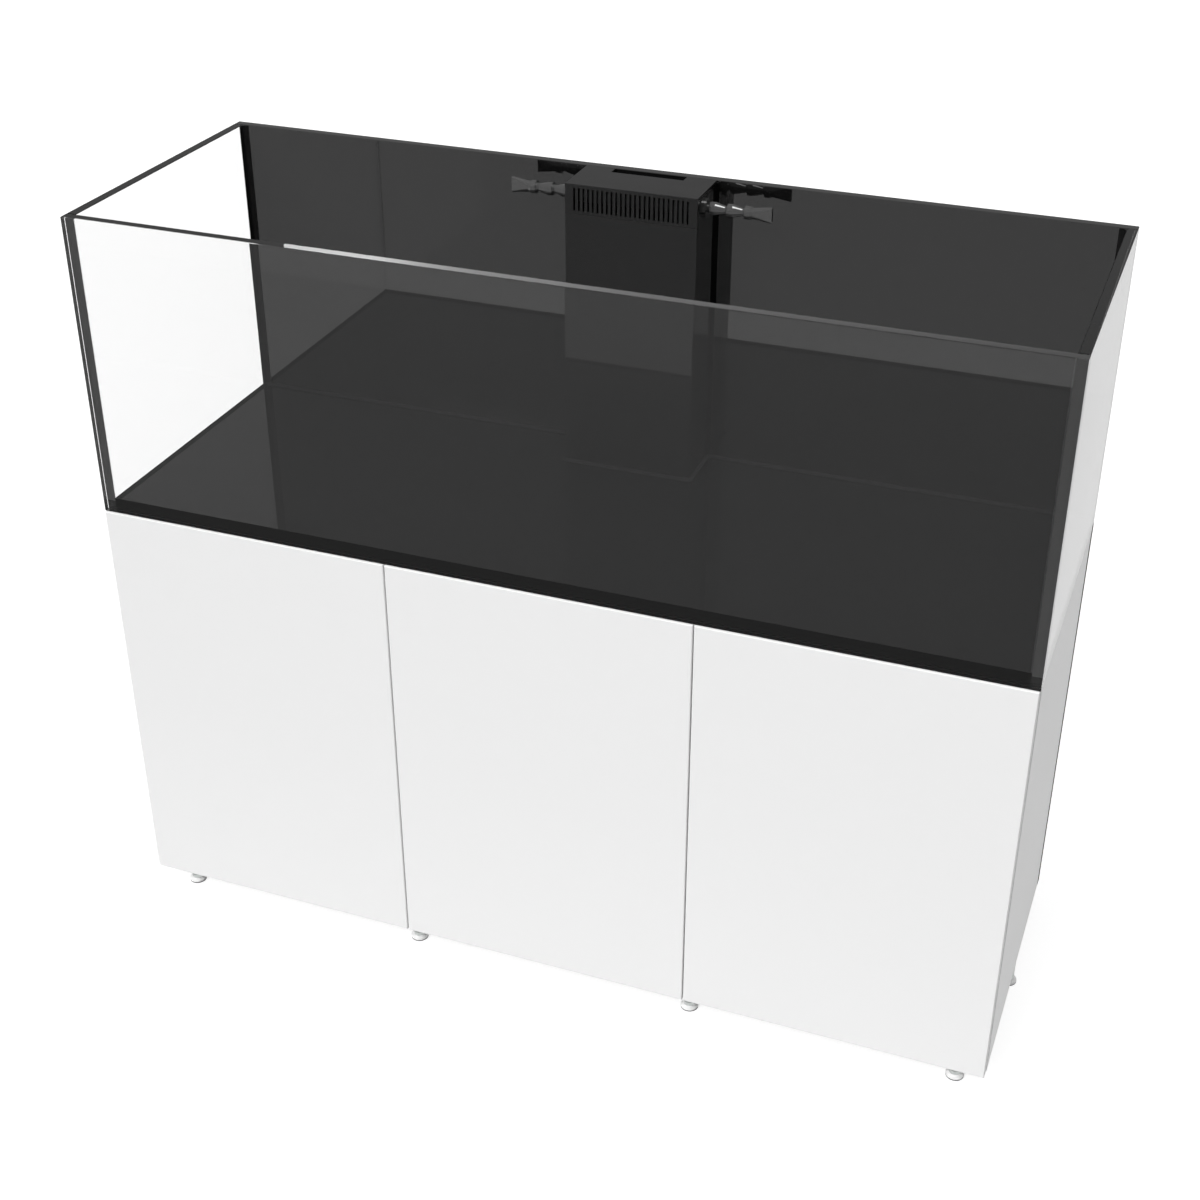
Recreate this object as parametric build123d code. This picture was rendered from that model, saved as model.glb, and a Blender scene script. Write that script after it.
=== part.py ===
"""Rimless aquarium with an overflow box, on a white three-door stand with sump, pump and levelling feet.

Frame: millimetres, +X to the right, +Y to the back, +Z up.
The origin is on the floor at the middle of the footprint.
"""
import os

from build123d import *

# Tank
tank_length = 1800.0
tank_depth = 625.0
tank_height = 590.0
glass = 19.0
glass_arris = 1.0
bond = 1.5
seam_inset = 1.5
bead = 6.0

# Stand
foot_height = 57.0
carcass_height = 873.0
side_thick = 25.0
top_thick = 25.0
board_thick = 18.0
back_thick = 12.0
panel_round = 1.5
rail_height = 80.0
cable_hole_width = 220.0
cable_hole_height = 110.0
cable_hole_drop = 90.0
cable_hole_round = 20.0
pass_hole_radius = 30.0
pass_hole_inset = 70.0

# Doors
door_count = 3
door_thick = 18.0
door_gap = 2.2
door_back_gap = 3.0
door_proud = 4.0
door_inset = 1.0
door_top_drop = 0.8
door_bottom_rise = 1.0
door_round = 2.5

# Concealed hinges
hinge_end_distance = 150.0
pivot_from_edge = 9.0
pivot_from_back = 10.5
cup_radius = 17.5
cup_edge_distance = 4.0
cup_depth = 14.0
cup_wall = 0.8
cup_fit = 0.1
cup_flange_thick = 1.2
cup_flange_height = 56.0
cup_flange_width = 24.0
hinge_pin_radius = 1.25
hinge_fit = 0.05
hinge_eye_radius = 2.4
arm_thick = 2.0
arm_height = 8.0
side_arm_crank = 19.0
divider_arm_crank = 15.0
plate_length = 38.0
plate_height = 24.0
plate_setback = 8.0

# Push latches
latch_width = 16.0
latch_length = 60.0
latch_edge_distance = 36.0
plunger_radius = 4.0
plunger_fit = 0.07
plunger_length = 48.0
plunger_travel = 2.5
plunger_door_gap = 0.3

# Levelling feet
foot_pad_radius = 18.0
foot_rubber_thick = 2.0
foot_pad_thick = 4.0
foot_crown = 4.0
foot_stem_radius = 12.0
foot_stud_radius = 5.0
foot_stud_length = 14.0
foot_seat_gap = 0.3
socket_wall = 3.0
socket_depth = 16.0
thread_fit = 0.05
foot_front_inset = 51.5
foot_end_inset = 61.0
side_foot_y = 38.0

# Overflow box
overflow_width = 260.0
overflow_depth = 116.0
overflow_wall = 6.0
lid_thick = 4.0
lid_back_gap = 1.0
lid_round = 1.5
comb_drop = 57.0
comb_seat_gap = 0.3
slot_count = 25
slot_pitch = 9.3
slot_width = 3.7
slot_height = 44.0
slot_top_margin = 7.0
notch_width = 144.0
notch_depth = 23.0
tab_length = 30.0
tab_drop = 12.0
tab_thick = 4.0
tab_fit = 0.5

# Pipes and bulkheads
pipe_radius = 16.0
pipe_wall = 3.0
pipe_fit = 0.1
pipe_spacing = 80.0
pipe_row_depth = 65.5
socket_length = 20.0
fitting_wall = 4.0
flange_radius = 31.0
flange_thick = 8.0
gasket_thick = 2.0
barrel_radius = 21.5
barrel_length = 45.0
barrel_fit = 0.5
nut_radius = 30.0
nut_thick = 12.0
pipe_opening_margin = 8.0
main_standpipe_height = 430.0
emergency_standpipe_height = 500.0
strainer_slot_width = 5.0
strainer_slot_height = 40.0
strainer_top = 12.0

# Return nozzles
nozzle_drop = 32.0
fitting_flange_radius = 18.0
fitting_flange_thick = 5.0
fitting_nut_thick = 6.0
tail_radius = 13.0
tail_length = 16.0
ball_radius = 10.5
ball_flat = 6.5
ball_clear = 0.3
ball_from_wall = 14.0
segment_pitch = 33.5
bell_radius = 12.5
bell_mouth = 4.0
bell_back = 6.0
neck_radius = 7.5
neck_length = 9.0
hose_bore = 5.0
flare_length = 47.0
flare_throat = 10.5
flare_shoulder = 4.0
flare_step = 0.3
flare_width = 31.0
flare_thick = 8.0
flare_wall = 1.8
flare_flat = 0.05

# Gate valve
valve_drop = 310.0
valve_radius = 24.0
valve_length = 70.0
bonnet_half_width = 22.0
bonnet_half_height = 14.0
bonnet_reach = 62.0
gland_radius = 10.0
gland_length = 10.0
gate_half_width = 15.0
gate_half_thick = 6.0
gate_length = 40.0
gate_travel = 28.0
gate_fit = 0.3
gate_bore_gap = 3.0
gate_nose = 4.0
stem_radius = 4.0
stem_fit = 0.08
stem_gate_gap = 0.3
wheel_radius = 30.0
wheel_rim = 5.0
wheel_hub_radius = 9.0
wheel_thick = 10.0
wheel_stand_off = 6.0
spoke_count = 5
spoke_width = 6.0

# Return line below the tank
elbow_drop = 210.0
elbow_bend = 24.0

# Sump
sump_side_gap = 16.0
sump_front_gap = 100.0
sump_back_gap = 40.0
sump_height = 400.0
sump_wall = 8.0
baffle_thick = 6.0
baffle_spacing = 25.0
baffle_low = 220.0
baffle_high = 280.0
baffle_lift = 40.0
pump_chamber = 140.0
main_drain_end = 110.0
emergency_drain_end = 250.0

# Return pump
pump_end_gap = 10.0
pump_axis_height = 58.0
pump_outlet_offset = 22.0
motor_radius = 34.0
motor_length = 52.0
volute_radius = 40.0
volute_width = 44.0
volute_wall = 4.0
pump_base_width = 60.0
outlet_height = 75.0
chamber_radius = 32.0
rotor_well_radius = 15.0
rotor_well_depth = 44.0
rotor_gap = 0.6
shaft_radius = 3.0
shaft_fit = 0.06
impeller_radius = 29.0
impeller_gap = 2.0
impeller_disc = 4.0
vane_count = 6
vane_thick = 3.0
cover_thick = 6.0
cover_hub_radius = 6.0
intake_radius = 15.0
cage_radius = 24.0
cage_wall = 3.0
cage_length = 22.0
cage_slot_width = 4.0
cage_slot_count = 10

# Levels and planes worked out from the sizes above
half_length = tank_length / 2
stand_top = foot_height + carcass_height
tank_top = stand_top + tank_height
floor_glass_top = stand_top + glass
door_front = -(tank_depth + door_proud) / 2
door_back = door_front + door_thick
tank_front = door_front + door_proud
tank_back = tank_front + tank_depth
front_inner = tank_front + glass
back_inner = tank_back - glass
side_inner = half_length - glass
carcass_front = door_back + door_back_gap
carcass_back = tank_back
boards_back = carcass_back - back_thick
bay_left = -half_length + side_thick
bay_right = half_length - side_thick
bottom_top = foot_height + board_thick
top_under = stand_top - top_thick
rail_under = top_under - rail_height
door_pitch = tank_length / door_count
door_low = foot_height + door_bottom_rise
door_high = stand_top - door_top_drop
divider_centres = [-half_length + door_pitch * index for index in range(1, door_count)]
overflow_half = overflow_width / 2
overflow_front = back_inner - overflow_depth
pipe_y = back_inner - pipe_row_depth
main_x = -pipe_spacing
emergency_x = 0.0
return_x = pipe_spacing
nozzle_z = tank_top - nozzle_drop
pipe_bore = pipe_radius - pipe_wall
pipe_socket = pipe_radius + pipe_fit
fitting_radius = pipe_socket + fitting_wall

# Doors and bays worked out from the sizes above
left_edge = -half_length + door_inset
right_edge = half_length - door_inset
pivot_y = door_back - pivot_from_back
hinge_levels = (door_low + hinge_end_distance, door_high - hinge_end_distance)
left_bay = (bay_left, divider_centres[0] - board_thick / 2)
middle_bay = (divider_centres[0] + board_thick / 2, divider_centres[1] - board_thick / 2)
right_bay = (divider_centres[1] + board_thick / 2, bay_right)
bays = (left_bay, middle_bay, right_bay)
pass_hole_y = boards_back - pass_hole_inset
pass_hole_z = top_under - cable_hole_drop

# Plumbing, sump and pump worked out from the sizes above
bulkhead_stop = stand_top - barrel_length + socket_length
valve_z = stand_top - valve_drop
valve_socket_top = valve_z + valve_length / 2 - socket_length
valve_socket_bottom = valve_z - valve_length / 2 + socket_length
elbow_z = stand_top - elbow_drop
sump_low = bottom_top
sump_floor = sump_low + sump_wall
sump_top = sump_low + sump_height
sump_left = middle_bay[0] + sump_side_gap
sump_right = middle_bay[1] - sump_side_gap
sump_front = carcass_front + sump_front_gap
sump_back = boards_back - sump_back_gap
motor_end = sump_right - sump_wall - pump_end_gap
volute_back = motor_end - motor_length
volute_front = volute_back - volute_width
outlet_x = (volute_front + volute_back) / 2
pump_y = pipe_y - pump_outlet_offset
pump_z = sump_floor + pump_axis_height
outlet_top = pump_z + outlet_height

# Places of the feet worked out from the sizes above
socket_radius = foot_stud_radius + thread_fit + socket_wall
foot_row_front = door_front + foot_front_inset
foot_row_back = carcass_back - foot_front_inset
foot_ends = half_length - foot_end_inset
foot_places = {
    "foot_front_1": (-foot_ends, foot_row_front),
    "foot_front_2": (divider_centres[0], foot_row_front),
    "foot_front_3": (divider_centres[1], foot_row_front),
    "foot_front_4": (foot_ends, foot_row_front),
    "foot_left": (-half_length + side_thick / 2, side_foot_y),
    "foot_right": (half_length - side_thick / 2, side_foot_y),
    "foot_back_1": (-foot_ends, foot_row_back),
    "foot_back_2": (divider_centres[0], foot_row_back),
    "foot_back_3": (divider_centres[1], foot_row_back),
    "foot_back_4": (foot_ends, foot_row_back),
}


def block(x, y, z):
    """Box between a low and a high limit on each axis."""
    sizes = [high - low for low, high in (x, y, z)]
    middle = [(high + low) / 2 for low, high in (x, y, z)]
    return Pos(*middle) * Box(*sizes)


def rod_x(radius, x, y=0.0, z=0.0):
    """Round bar along X between two limits."""
    low, high = x
    return Pos((low + high) / 2, y, z) * Rot(0, 90, 0) * Cylinder(radius, high - low)


def rod_y(radius, x, y, z):
    """Round bar along Y between two limits."""
    low, high = y
    return Pos(x, (low + high) / 2, z) * Rot(90, 0, 0) * Cylinder(radius, high - low)


def rod_z(radius, x, y, z):
    """Round bar along Z between two limits."""
    low, high = z
    return Pos(x, y, (low + high) / 2) * Cylinder(radius, high - low)


def tube_z(x, y, z):
    """Length of pipe along Z."""
    return rod_z(pipe_radius, x, y, z) - rod_z(pipe_bore, x, y, z)


def around(low, high):
    """Limits in rising order."""
    return (min(low, high), max(low, high))


def save(name, *shapes):
    """Write every solid of the shapes into the node's STEP file."""
    solids = [solid for shape in shapes for solid in shape.solids()]
    body = solids[0] if len(solids) == 1 else Compound(solids)
    export_step(body, os.path.join("parts", name + ".step"))


def ground_rim(pane):
    """Pane with a ground arris along its top edges."""
    return chamfer(pane.edges().group_by(Axis.Z)[-1], glass_arris)


def glass_panes():
    """Four upright panes, and the base glass that lies between them."""
    height = (stand_top, tank_top)
    full = (-half_length, half_length)
    between = (front_inner + bond, back_inner - bond)
    save("front_glass", ground_rim(block(full, (tank_front, front_inner), height)))
    save("back_glass", ground_rim(block(full, (back_inner, tank_back), height)))
    save("left_glass", ground_rim(block((-half_length, -side_inner), between, height)))
    save("right_glass", ground_rim(block((side_inner, half_length), between, height)))
    base = block((bond - side_inner, side_inner - bond), between, (stand_top, floor_glass_top))
    for x in (main_x, emergency_x, return_x):
        base -= rod_z(barrel_radius + barrel_fit, x, pipe_y, (stand_top, floor_glass_top))
    save("base_glass", base)


def corner_seam(side, end):
    """Silicone of one upright corner: the layer between the panes and the bead inside the tank."""
    start = front_inner if end < 0 else back_inner
    edge_x = side * (half_length - seam_inset)
    inner_x = side * side_inner
    bead_x = inner_x - side * bead
    layer_y = start - end * bond
    bead_y = start - end * (bond + bead)
    layer = block(around(edge_x, inner_x), around(start, layer_y), (stand_top, tank_top - glass_arris))
    outline = Polyline((inner_x, start), (bead_x, start), (inner_x, bead_y), close=True)
    fillet_height = tank_top - glass_arris - floor_glass_top - bead
    bead_foot = Pos(0, 0, floor_glass_top + bead)
    return layer + extrude(bead_foot * make_face(outline), amount=fillet_height, dir=(0, 0, 1))


def base_seam():
    """Silicone ring round the base glass, with a bead above it that stops at the overflow box."""
    inside_y = (front_inner, back_inner)
    inside_x = (-side_inner, side_inner)
    depth = back_inner - front_inner
    middle = (front_inner + back_inner) / 2
    ring = block(inside_x, inside_y, (stand_top, floor_glass_top + bead))
    ring -= block(
        (bond - side_inner, side_inner - bond),
        (front_inner + bond, back_inner - bond),
        (stand_top, floor_glass_top),
    )
    foot_outline = Pos(0, middle, floor_glass_top) * Rectangle(2 * (side_inner - bead), depth - 2 * bead)
    rim_outline = Pos(0, middle, floor_glass_top + bead) * Rectangle(2 * side_inner, depth)
    ring -= loft([foot_outline, rim_outline], ruled=True)
    ring -= block((-overflow_half, overflow_half), (overflow_front, back_inner), (floor_glass_top, tank_top))
    return ring


def overflow_bead():
    """Silicone bead round the foot of the overflow box and up its two joints with the back pane."""
    foot_top = floor_glass_top + bead
    low_outline = Rectangle(overflow_width + 2 * bead, overflow_depth + bead)
    high_outline = Rectangle(overflow_width, overflow_depth)
    seam = loft(
        [
            Pos(0, back_inner - (overflow_depth + bead) / 2, floor_glass_top) * low_outline,
            Pos(0, back_inner - overflow_depth / 2, foot_top) * high_outline,
        ],
        ruled=True,
    )
    height = tank_top - lid_thick - floor_glass_top
    for side in (-1, 1):
        wall_x = side * overflow_half
        bead_x = wall_x + side * bead
        bead_y = back_inner - bead
        outline = Polyline((wall_x, back_inner), (bead_x, back_inner), (wall_x, bead_y), close=True)
        seam += extrude(Pos(0, 0, floor_glass_top) * make_face(outline), amount=height, dir=(0, 0, 1))
    width = (-overflow_half, overflow_half)
    return seam - block(width, (overflow_front, back_inner), (floor_glass_top, foot_top))


def silicone():
    """Clear silicone in the upright corners, black silicone round the base and the overflow box."""
    corners = [corner_seam(side, end) for side in (-1, 1) for end in (-1, 1)]
    save("corner_seams", *corners)
    save("base_seam", base_seam() + overflow_bead())


def overflow_plates():
    """Front plate and two side plates of the overflow box, glued to the base and the back pane."""
    front = block(
        (-overflow_half, overflow_half),
        (overflow_front, overflow_front + overflow_wall),
        (floor_glass_top, tank_top - comb_drop),
    )
    sides = []
    for side in (-1, 1):
        plate = block(
            around(side * (overflow_half - overflow_wall), side * overflow_half),
            (overflow_front + overflow_wall, back_inner),
            (floor_glass_top, tank_top - lid_thick),
        )
        hole = around(side * (overflow_half - 2 * overflow_wall), side * (overflow_half + overflow_wall))
        sides.append(plate - rod_x(tail_radius + barrel_fit, hole, pipe_y, nozzle_z))
    save("overflow_plates", front, *sides)


def overflow_lid():
    """Lift-off lid: top plate with a rear notch, slotted comb in front, two locating tabs inside."""
    width = (-overflow_half, overflow_half)
    plate_under = tank_top - lid_thick
    lid_back = back_inner - lid_back_gap
    lid = block(width, (overflow_front, lid_back), (plate_under, tank_top))
    comb_foot = tank_top - comb_drop + comb_seat_gap
    lid += block(width, (overflow_front, overflow_front + lid_thick), (comb_foot, tank_top))
    front_top = lid.edges().filter_by(Axis.X).sort_by(Axis.Y)[:2].sort_by(Axis.Z)[-1]
    lid = fillet(front_top, lid_round)
    notch = (-notch_width / 2, notch_width / 2)
    lid -= block(notch, (lid_back - notch_depth, lid_back), (plate_under, tank_top))
    slot_top = tank_top - slot_top_margin
    for index in range(slot_count):
        x = (index - (slot_count - 1) / 2) * slot_pitch
        lid -= block(
            (x - slot_width / 2, x + slot_width / 2),
            (overflow_front, overflow_front + lid_thick),
            (slot_top - slot_height, slot_top),
        )
    tab_front = overflow_front + 2 * overflow_wall
    for side in (-1, 1):
        outer = overflow_half - overflow_wall - tab_fit
        lid += block(
            around(side * (outer - tab_thick), side * outer),
            (tab_front, tab_front + tab_length),
            (plate_under - tab_drop, plate_under),
        )
    save("overflow_lid", lid)


def turned(*edges):
    """Solid of revolution about X from the closed outline that the edges make."""
    return revolve(make_face(Wire(edges)), Axis.X)


def outline(*points):
    """Straight edges from point to point, each point a place along X and a radius."""
    return [Line(start, end) for start, end in zip(points, points[1:])]


def ball_arc(centre):
    """Edge of a joint's ball, from its neck to the flat where the water leaves it."""
    neck_x = centre - (ball_radius**2 - neck_radius**2) ** 0.5
    flat_radius = (ball_radius**2 - ball_flat**2) ** 0.5
    return ThreePointArc((neck_x, neck_radius), (centre, ball_radius), (centre + ball_flat, flat_radius))


def socket_arc(centre):
    """Edge of the hollow that grips a ball, from the bore to the mouth, with its running room."""
    hollow = ball_radius + ball_clear
    bore_x = centre + (hollow**2 - hose_bore**2) ** 0.5
    mouth_radius = (hollow**2 - bell_mouth**2) ** 0.5
    return ThreePointArc((bore_x, hose_bore), (centre, hollow), (centre - bell_mouth, mouth_radius))


def wall_fitting():
    """Return fitting of the right wall, along X: tail inside, flange and ball outside, with its nut."""
    tail_end = overflow_half - overflow_wall - fitting_nut_thick - tail_length
    centre = overflow_half + ball_from_wall
    flange_end = overflow_half + fitting_flange_thick
    end_ball = ball_arc(centre)
    rear = outline(
        (tail_end, hose_bore),
        (tail_end, tail_radius),
        (overflow_half, tail_radius),
        (overflow_half, fitting_flange_radius),
        (flange_end, fitting_flange_radius),
        (flange_end, neck_radius),
        end_ball @ 0,
    )
    front = outline(end_ball @ 1, (centre + ball_flat, hose_bore), (tail_end, hose_bore))
    nut_span = (overflow_half - overflow_wall - fitting_nut_thick, overflow_half - overflow_wall)
    nut = rod_x(fitting_flange_radius, nut_span) - rod_x(tail_radius + thread_fit, nut_span)
    return [turned(*rear, end_ball, *front), nut]


def hose_segment(centre):
    """Hose segment along X: its bell sits on the ball at its centre, its own ball is one pitch on."""
    end = centre + segment_pitch
    end_ball = ball_arc(end)
    hollow = socket_arc(centre)
    rear = outline(
        hollow @ 1,
        (centre - bell_mouth, bell_radius),
        (centre + bell_back, bell_radius),
        (end - neck_length, neck_radius),
        end_ball @ 0,
    )
    front = outline(end_ball @ 1, (end + ball_flat, hose_bore), hollow @ 0)
    return turned(*rear, end_ball, *front, hollow)


def flare_section(x, thick, width):
    """Rounded section of the flare nozzle, square to X."""
    plane = Plane(origin=(x, 0, 0), x_dir=(0, 1, 0), z_dir=(1, 0, 0))
    return plane * RectangleRounded(thick, width, min(thick, width) / 2 - flare_flat)


def flare_nozzle(centre):
    """Flare nozzle along X: a bell with a shoulder, then a body that widens to a flat upright slot."""
    bell_end = centre + bell_back
    start = bell_end + flare_shoulder
    tip = centre + flare_length
    outer_throat = 2 * (flare_throat - flare_step)
    inner_throat = 2 * (hose_bore + flare_step)
    hollow = socket_arc(centre)
    grip = outline(
        hollow @ 1,
        (centre - bell_mouth, bell_radius),
        (bell_end, bell_radius),
        (start, flare_throat),
        (start, hose_bore),
        hollow @ 0,
    )
    body = turned(*grip, hollow)
    body += loft([
        flare_section(start, outer_throat, outer_throat),
        flare_section(tip, flare_thick, flare_width),
    ])
    body -= loft([
        flare_section(start, inner_throat, inner_throat),
        flare_section(tip, flare_thick - 2 * flare_wall, flare_width - 2 * flare_wall),
    ])
    return body


def return_nozzles():
    """Wall fittings and ball-jointed nozzles on both sides of the overflow box."""
    at_axis = Pos(0, pipe_y, nozzle_z)
    first = overflow_half + ball_from_wall
    second = first + segment_pitch
    third = second + segment_pitch
    chain = {
        "hose_inner": hose_segment(first),
        "hose_outer": hose_segment(second),
        "flare_nozzle": flare_nozzle(third),
    }
    to_left = at_axis * Rot(0, 0, 180)
    fitting = wall_fitting()
    save("return_fittings", *[place * shape for place in (to_left, at_axis) for shape in fitting])
    for name, shape in chain.items():
        save("right_" + name, at_axis * shape)
        save("left_" + name, to_left * shape)


def bulkhead(x):
    """Bulkhead through the base glass: flange and gasket above, nut below, pipe sockets at both ends."""
    flange_under = floor_glass_top + gasket_thick
    flange_top = flange_under + flange_thick
    low = stand_top - barrel_length
    body = rod_z(flange_radius, x, pipe_y, (flange_under, flange_top))
    body += rod_z(barrel_radius, x, pipe_y, (low, flange_under))
    body -= rod_z(pipe_bore, x, pipe_y, (low, flange_top))
    body -= rod_z(pipe_socket, x, pipe_y, (flange_top - socket_length, flange_top))
    body -= rod_z(pipe_socket, x, pipe_y, (low, low + socket_length))
    ring = (floor_glass_top, flange_under)
    gasket = rod_z(flange_radius, x, pipe_y, ring) - rod_z(barrel_radius + barrel_fit, x, pipe_y, ring)
    nut_span = (stand_top - nut_thick, stand_top)
    nut = Pos(x, pipe_y, nut_span[0]) * extrude(RegularPolygon(nut_radius, 6), amount=nut_thick)
    nut -= rod_z(barrel_radius + thread_fit, x, pipe_y, nut_span)
    return body, gasket, nut


def bulkheads():
    """Three equal bulkheads: main drain, emergency drain and return."""
    sets = [bulkhead(x) for x in (main_x, emergency_x, return_x)]
    for name, pieces in zip(("bulkheads", "bulkhead_gaskets", "bulkhead_nuts"), zip(*sets)):
        save(name, *pieces)


def standpipe(x, height):
    """Upright drain pipe in the overflow box, with strainer slots below its open top."""
    seat = floor_glass_top + gasket_thick + flange_thick - socket_length
    top = stand_top + height
    pipe = tube_z(x, pipe_y, (seat, top))
    slot = (top - strainer_top - strainer_slot_height, top - strainer_top)
    wide = (-2 * pipe_radius, 2 * pipe_radius)
    narrow = (-strainer_slot_width / 2, strainer_slot_width / 2)
    cross = block(wide, narrow, slot) + block(narrow, wide, slot)
    return pipe - Pos(x, pipe_y, 0) * cross


def overflow_pipes():
    """Standpipes, return riser and the tee that feeds both return fittings."""
    drains = [standpipe(main_x, main_standpipe_height), standpipe(emergency_x, emergency_standpipe_height)]
    seat = floor_glass_top + gasket_thick + flange_thick - socket_length
    arm_radius = tail_radius + pipe_fit + fitting_wall
    riser_top = nozzle_z - arm_radius
    save("overflow_pipes", *drains, tube_z(return_x, pipe_y, (seat, riser_top)))
    arm_end = overflow_half - overflow_wall - fitting_nut_thick
    arms = (-arm_end, arm_end)
    tee = rod_x(arm_radius, arms, pipe_y, nozzle_z)
    tee += rod_z(fitting_radius, return_x, pipe_y, (riser_top - socket_length, nozzle_z))
    tee -= rod_x(tail_radius + pipe_fit, arms, pipe_y, nozzle_z)
    tee -= rod_z(pipe_bore, return_x, pipe_y, (riser_top, nozzle_z))
    tee -= rod_z(pipe_socket, return_x, pipe_y, (riser_top - socket_length, riser_top))
    save("return_tee", tee)


def drain_pipes():
    """Drain lines below the tank: the main line above and below its gate valve, and the emergency line."""
    upper = tube_z(main_x, pipe_y, (valve_socket_top, bulkhead_stop))
    lower = tube_z(main_x, pipe_y, (sump_floor + main_drain_end, valve_socket_bottom))
    emergency = tube_z(emergency_x, pipe_y, (sump_floor + emergency_drain_end, bulkhead_stop))
    save("drain_pipes", upper, lower, emergency)


def gate_valve():
    """Gate valve on the main drain: body with bonnet, handwheel on its stem, and the sliding gate."""
    at_valve = Pos(main_x, pipe_y, valve_z)
    half = valve_length / 2
    bonnet_front = -bonnet_reach
    gate_open_front = -pipe_bore - gate_bore_gap
    gate_back = gate_open_front - gate_length
    body = rod_z(valve_radius, 0, 0, (-half, half))
    body += block(
        (-bonnet_half_width, bonnet_half_width), (bonnet_front, 0), (-bonnet_half_height, bonnet_half_height)
    )
    body += rod_y(gland_radius, 0, (bonnet_front - gland_length, bonnet_front), 0)
    body -= rod_z(pipe_bore, 0, 0, (-half, half))
    body -= rod_z(pipe_socket, 0, 0, (half - socket_length, half))
    body -= rod_z(pipe_socket, 0, 0, (-half, socket_length - half))
    body -= block(
        (-gate_half_width - gate_fit, gate_half_width + gate_fit),
        (gate_back - gate_fit, gate_open_front + gate_travel + gate_fit),
        (-gate_half_thick - gate_fit, gate_half_thick + gate_fit),
    )
    body -= rod_y(stem_radius + stem_fit, 0, (bonnet_front - gland_length, gate_back), 0)
    save("gate_valve_body", at_valve * body)

    stem_end = gate_open_front - gate_nose
    gate = block(
        (-gate_half_width, gate_half_width), (gate_back, gate_open_front), (-gate_half_thick, gate_half_thick)
    )
    gate -= rod_y(stem_radius + stem_gate_gap, 0, (gate_back, stem_end + stem_gate_gap), 0)
    save("gate_valve_gate", at_valve * gate)

    wheel_back = bonnet_front - gland_length - wheel_stand_off
    wheel_front = wheel_back - wheel_thick
    span = (wheel_front, wheel_back)
    wheel = rod_y(wheel_radius, 0, span, 0) - rod_y(wheel_radius - wheel_rim, 0, span, 0)
    spoke = block((0, wheel_radius - wheel_rim / 2), span, (-spoke_width / 2, spoke_width / 2))
    for index in range(spoke_count):
        wheel += Rot(0, 360 * index / spoke_count, 0) * spoke
    wheel += rod_y(wheel_hub_radius, 0, span, 0)
    wheel += rod_y(stem_radius, 0, (wheel_front, stem_end), 0)
    save("gate_valve_wheel", at_valve * wheel)


def elbow(x, to_side, to_level):
    """Pipe elbow: a bend with a socket towards one side along X and one up or down along Z."""
    bend_x = x + to_side * elbow_bend
    bend_z = elbow_z + to_level * elbow_bend
    side_span = around(bend_x, bend_x + to_side * socket_length)
    level_span = around(bend_z, bend_z + to_level * socket_length)
    start = Plane(origin=(bend_x, pipe_y, elbow_z), x_dir=(0, 1, 0), z_dir=(1, 0, 0))
    ring = start * (Circle(fitting_radius) - Circle(pipe_bore))
    body = revolve(ring, Axis((bend_x, pipe_y, bend_z), (0, to_side * to_level, 0)), 90)
    body += rod_x(fitting_radius, side_span, pipe_y, elbow_z) - rod_x(pipe_socket, side_span, pipe_y, elbow_z)
    body += rod_z(fitting_radius, x, pipe_y, level_span) - rod_z(pipe_socket, x, pipe_y, level_span)
    return body


def return_line():
    """Return line from the pump up to the return bulkhead."""
    upper = tube_z(return_x, pipe_y, (elbow_z + elbow_bend, bulkhead_stop))
    across = (return_x + elbow_bend, outlet_x - elbow_bend)
    crossing = rod_x(pipe_radius, across, pipe_y, elbow_z) - rod_x(pipe_bore, across, pipe_y, elbow_z)
    lower = tube_z(outlet_x, pipe_y, (outlet_top - socket_length, elbow_z - elbow_bend))
    save("return_pipes", upper, crossing, lower, elbow(return_x, 1, 1), elbow(outlet_x, -1, -1))


def sump():
    """Glued sump tank with a pump chamber behind three baffles."""
    wide = (sump_left, sump_right)
    deep = (sump_front, sump_back)
    upright = (sump_floor, sump_top)
    between = (sump_front + sump_wall, sump_back - sump_wall)
    save(
        "sump_panes",
        block(wide, deep, (sump_low, sump_floor)),
        block(wide, (sump_front, sump_front + sump_wall), upright),
        block(wide, (sump_back - sump_wall, sump_back), upright),
        block((sump_left, sump_left + sump_wall), between, upright),
        block((sump_right - sump_wall, sump_right), between, upright),
    )
    last = sump_right - sump_wall - pump_chamber
    spans = [(0.0, baffle_low), (baffle_lift, baffle_high), (0.0, baffle_low)]
    baffles = []
    for index, (low, high) in enumerate(spans):
        x = last - index * (baffle_spacing + baffle_thick)
        baffles.append(block((x - baffle_thick, x), between, (sump_floor + low, sump_floor + high)))
    save("sump_baffles", *baffles)


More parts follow.
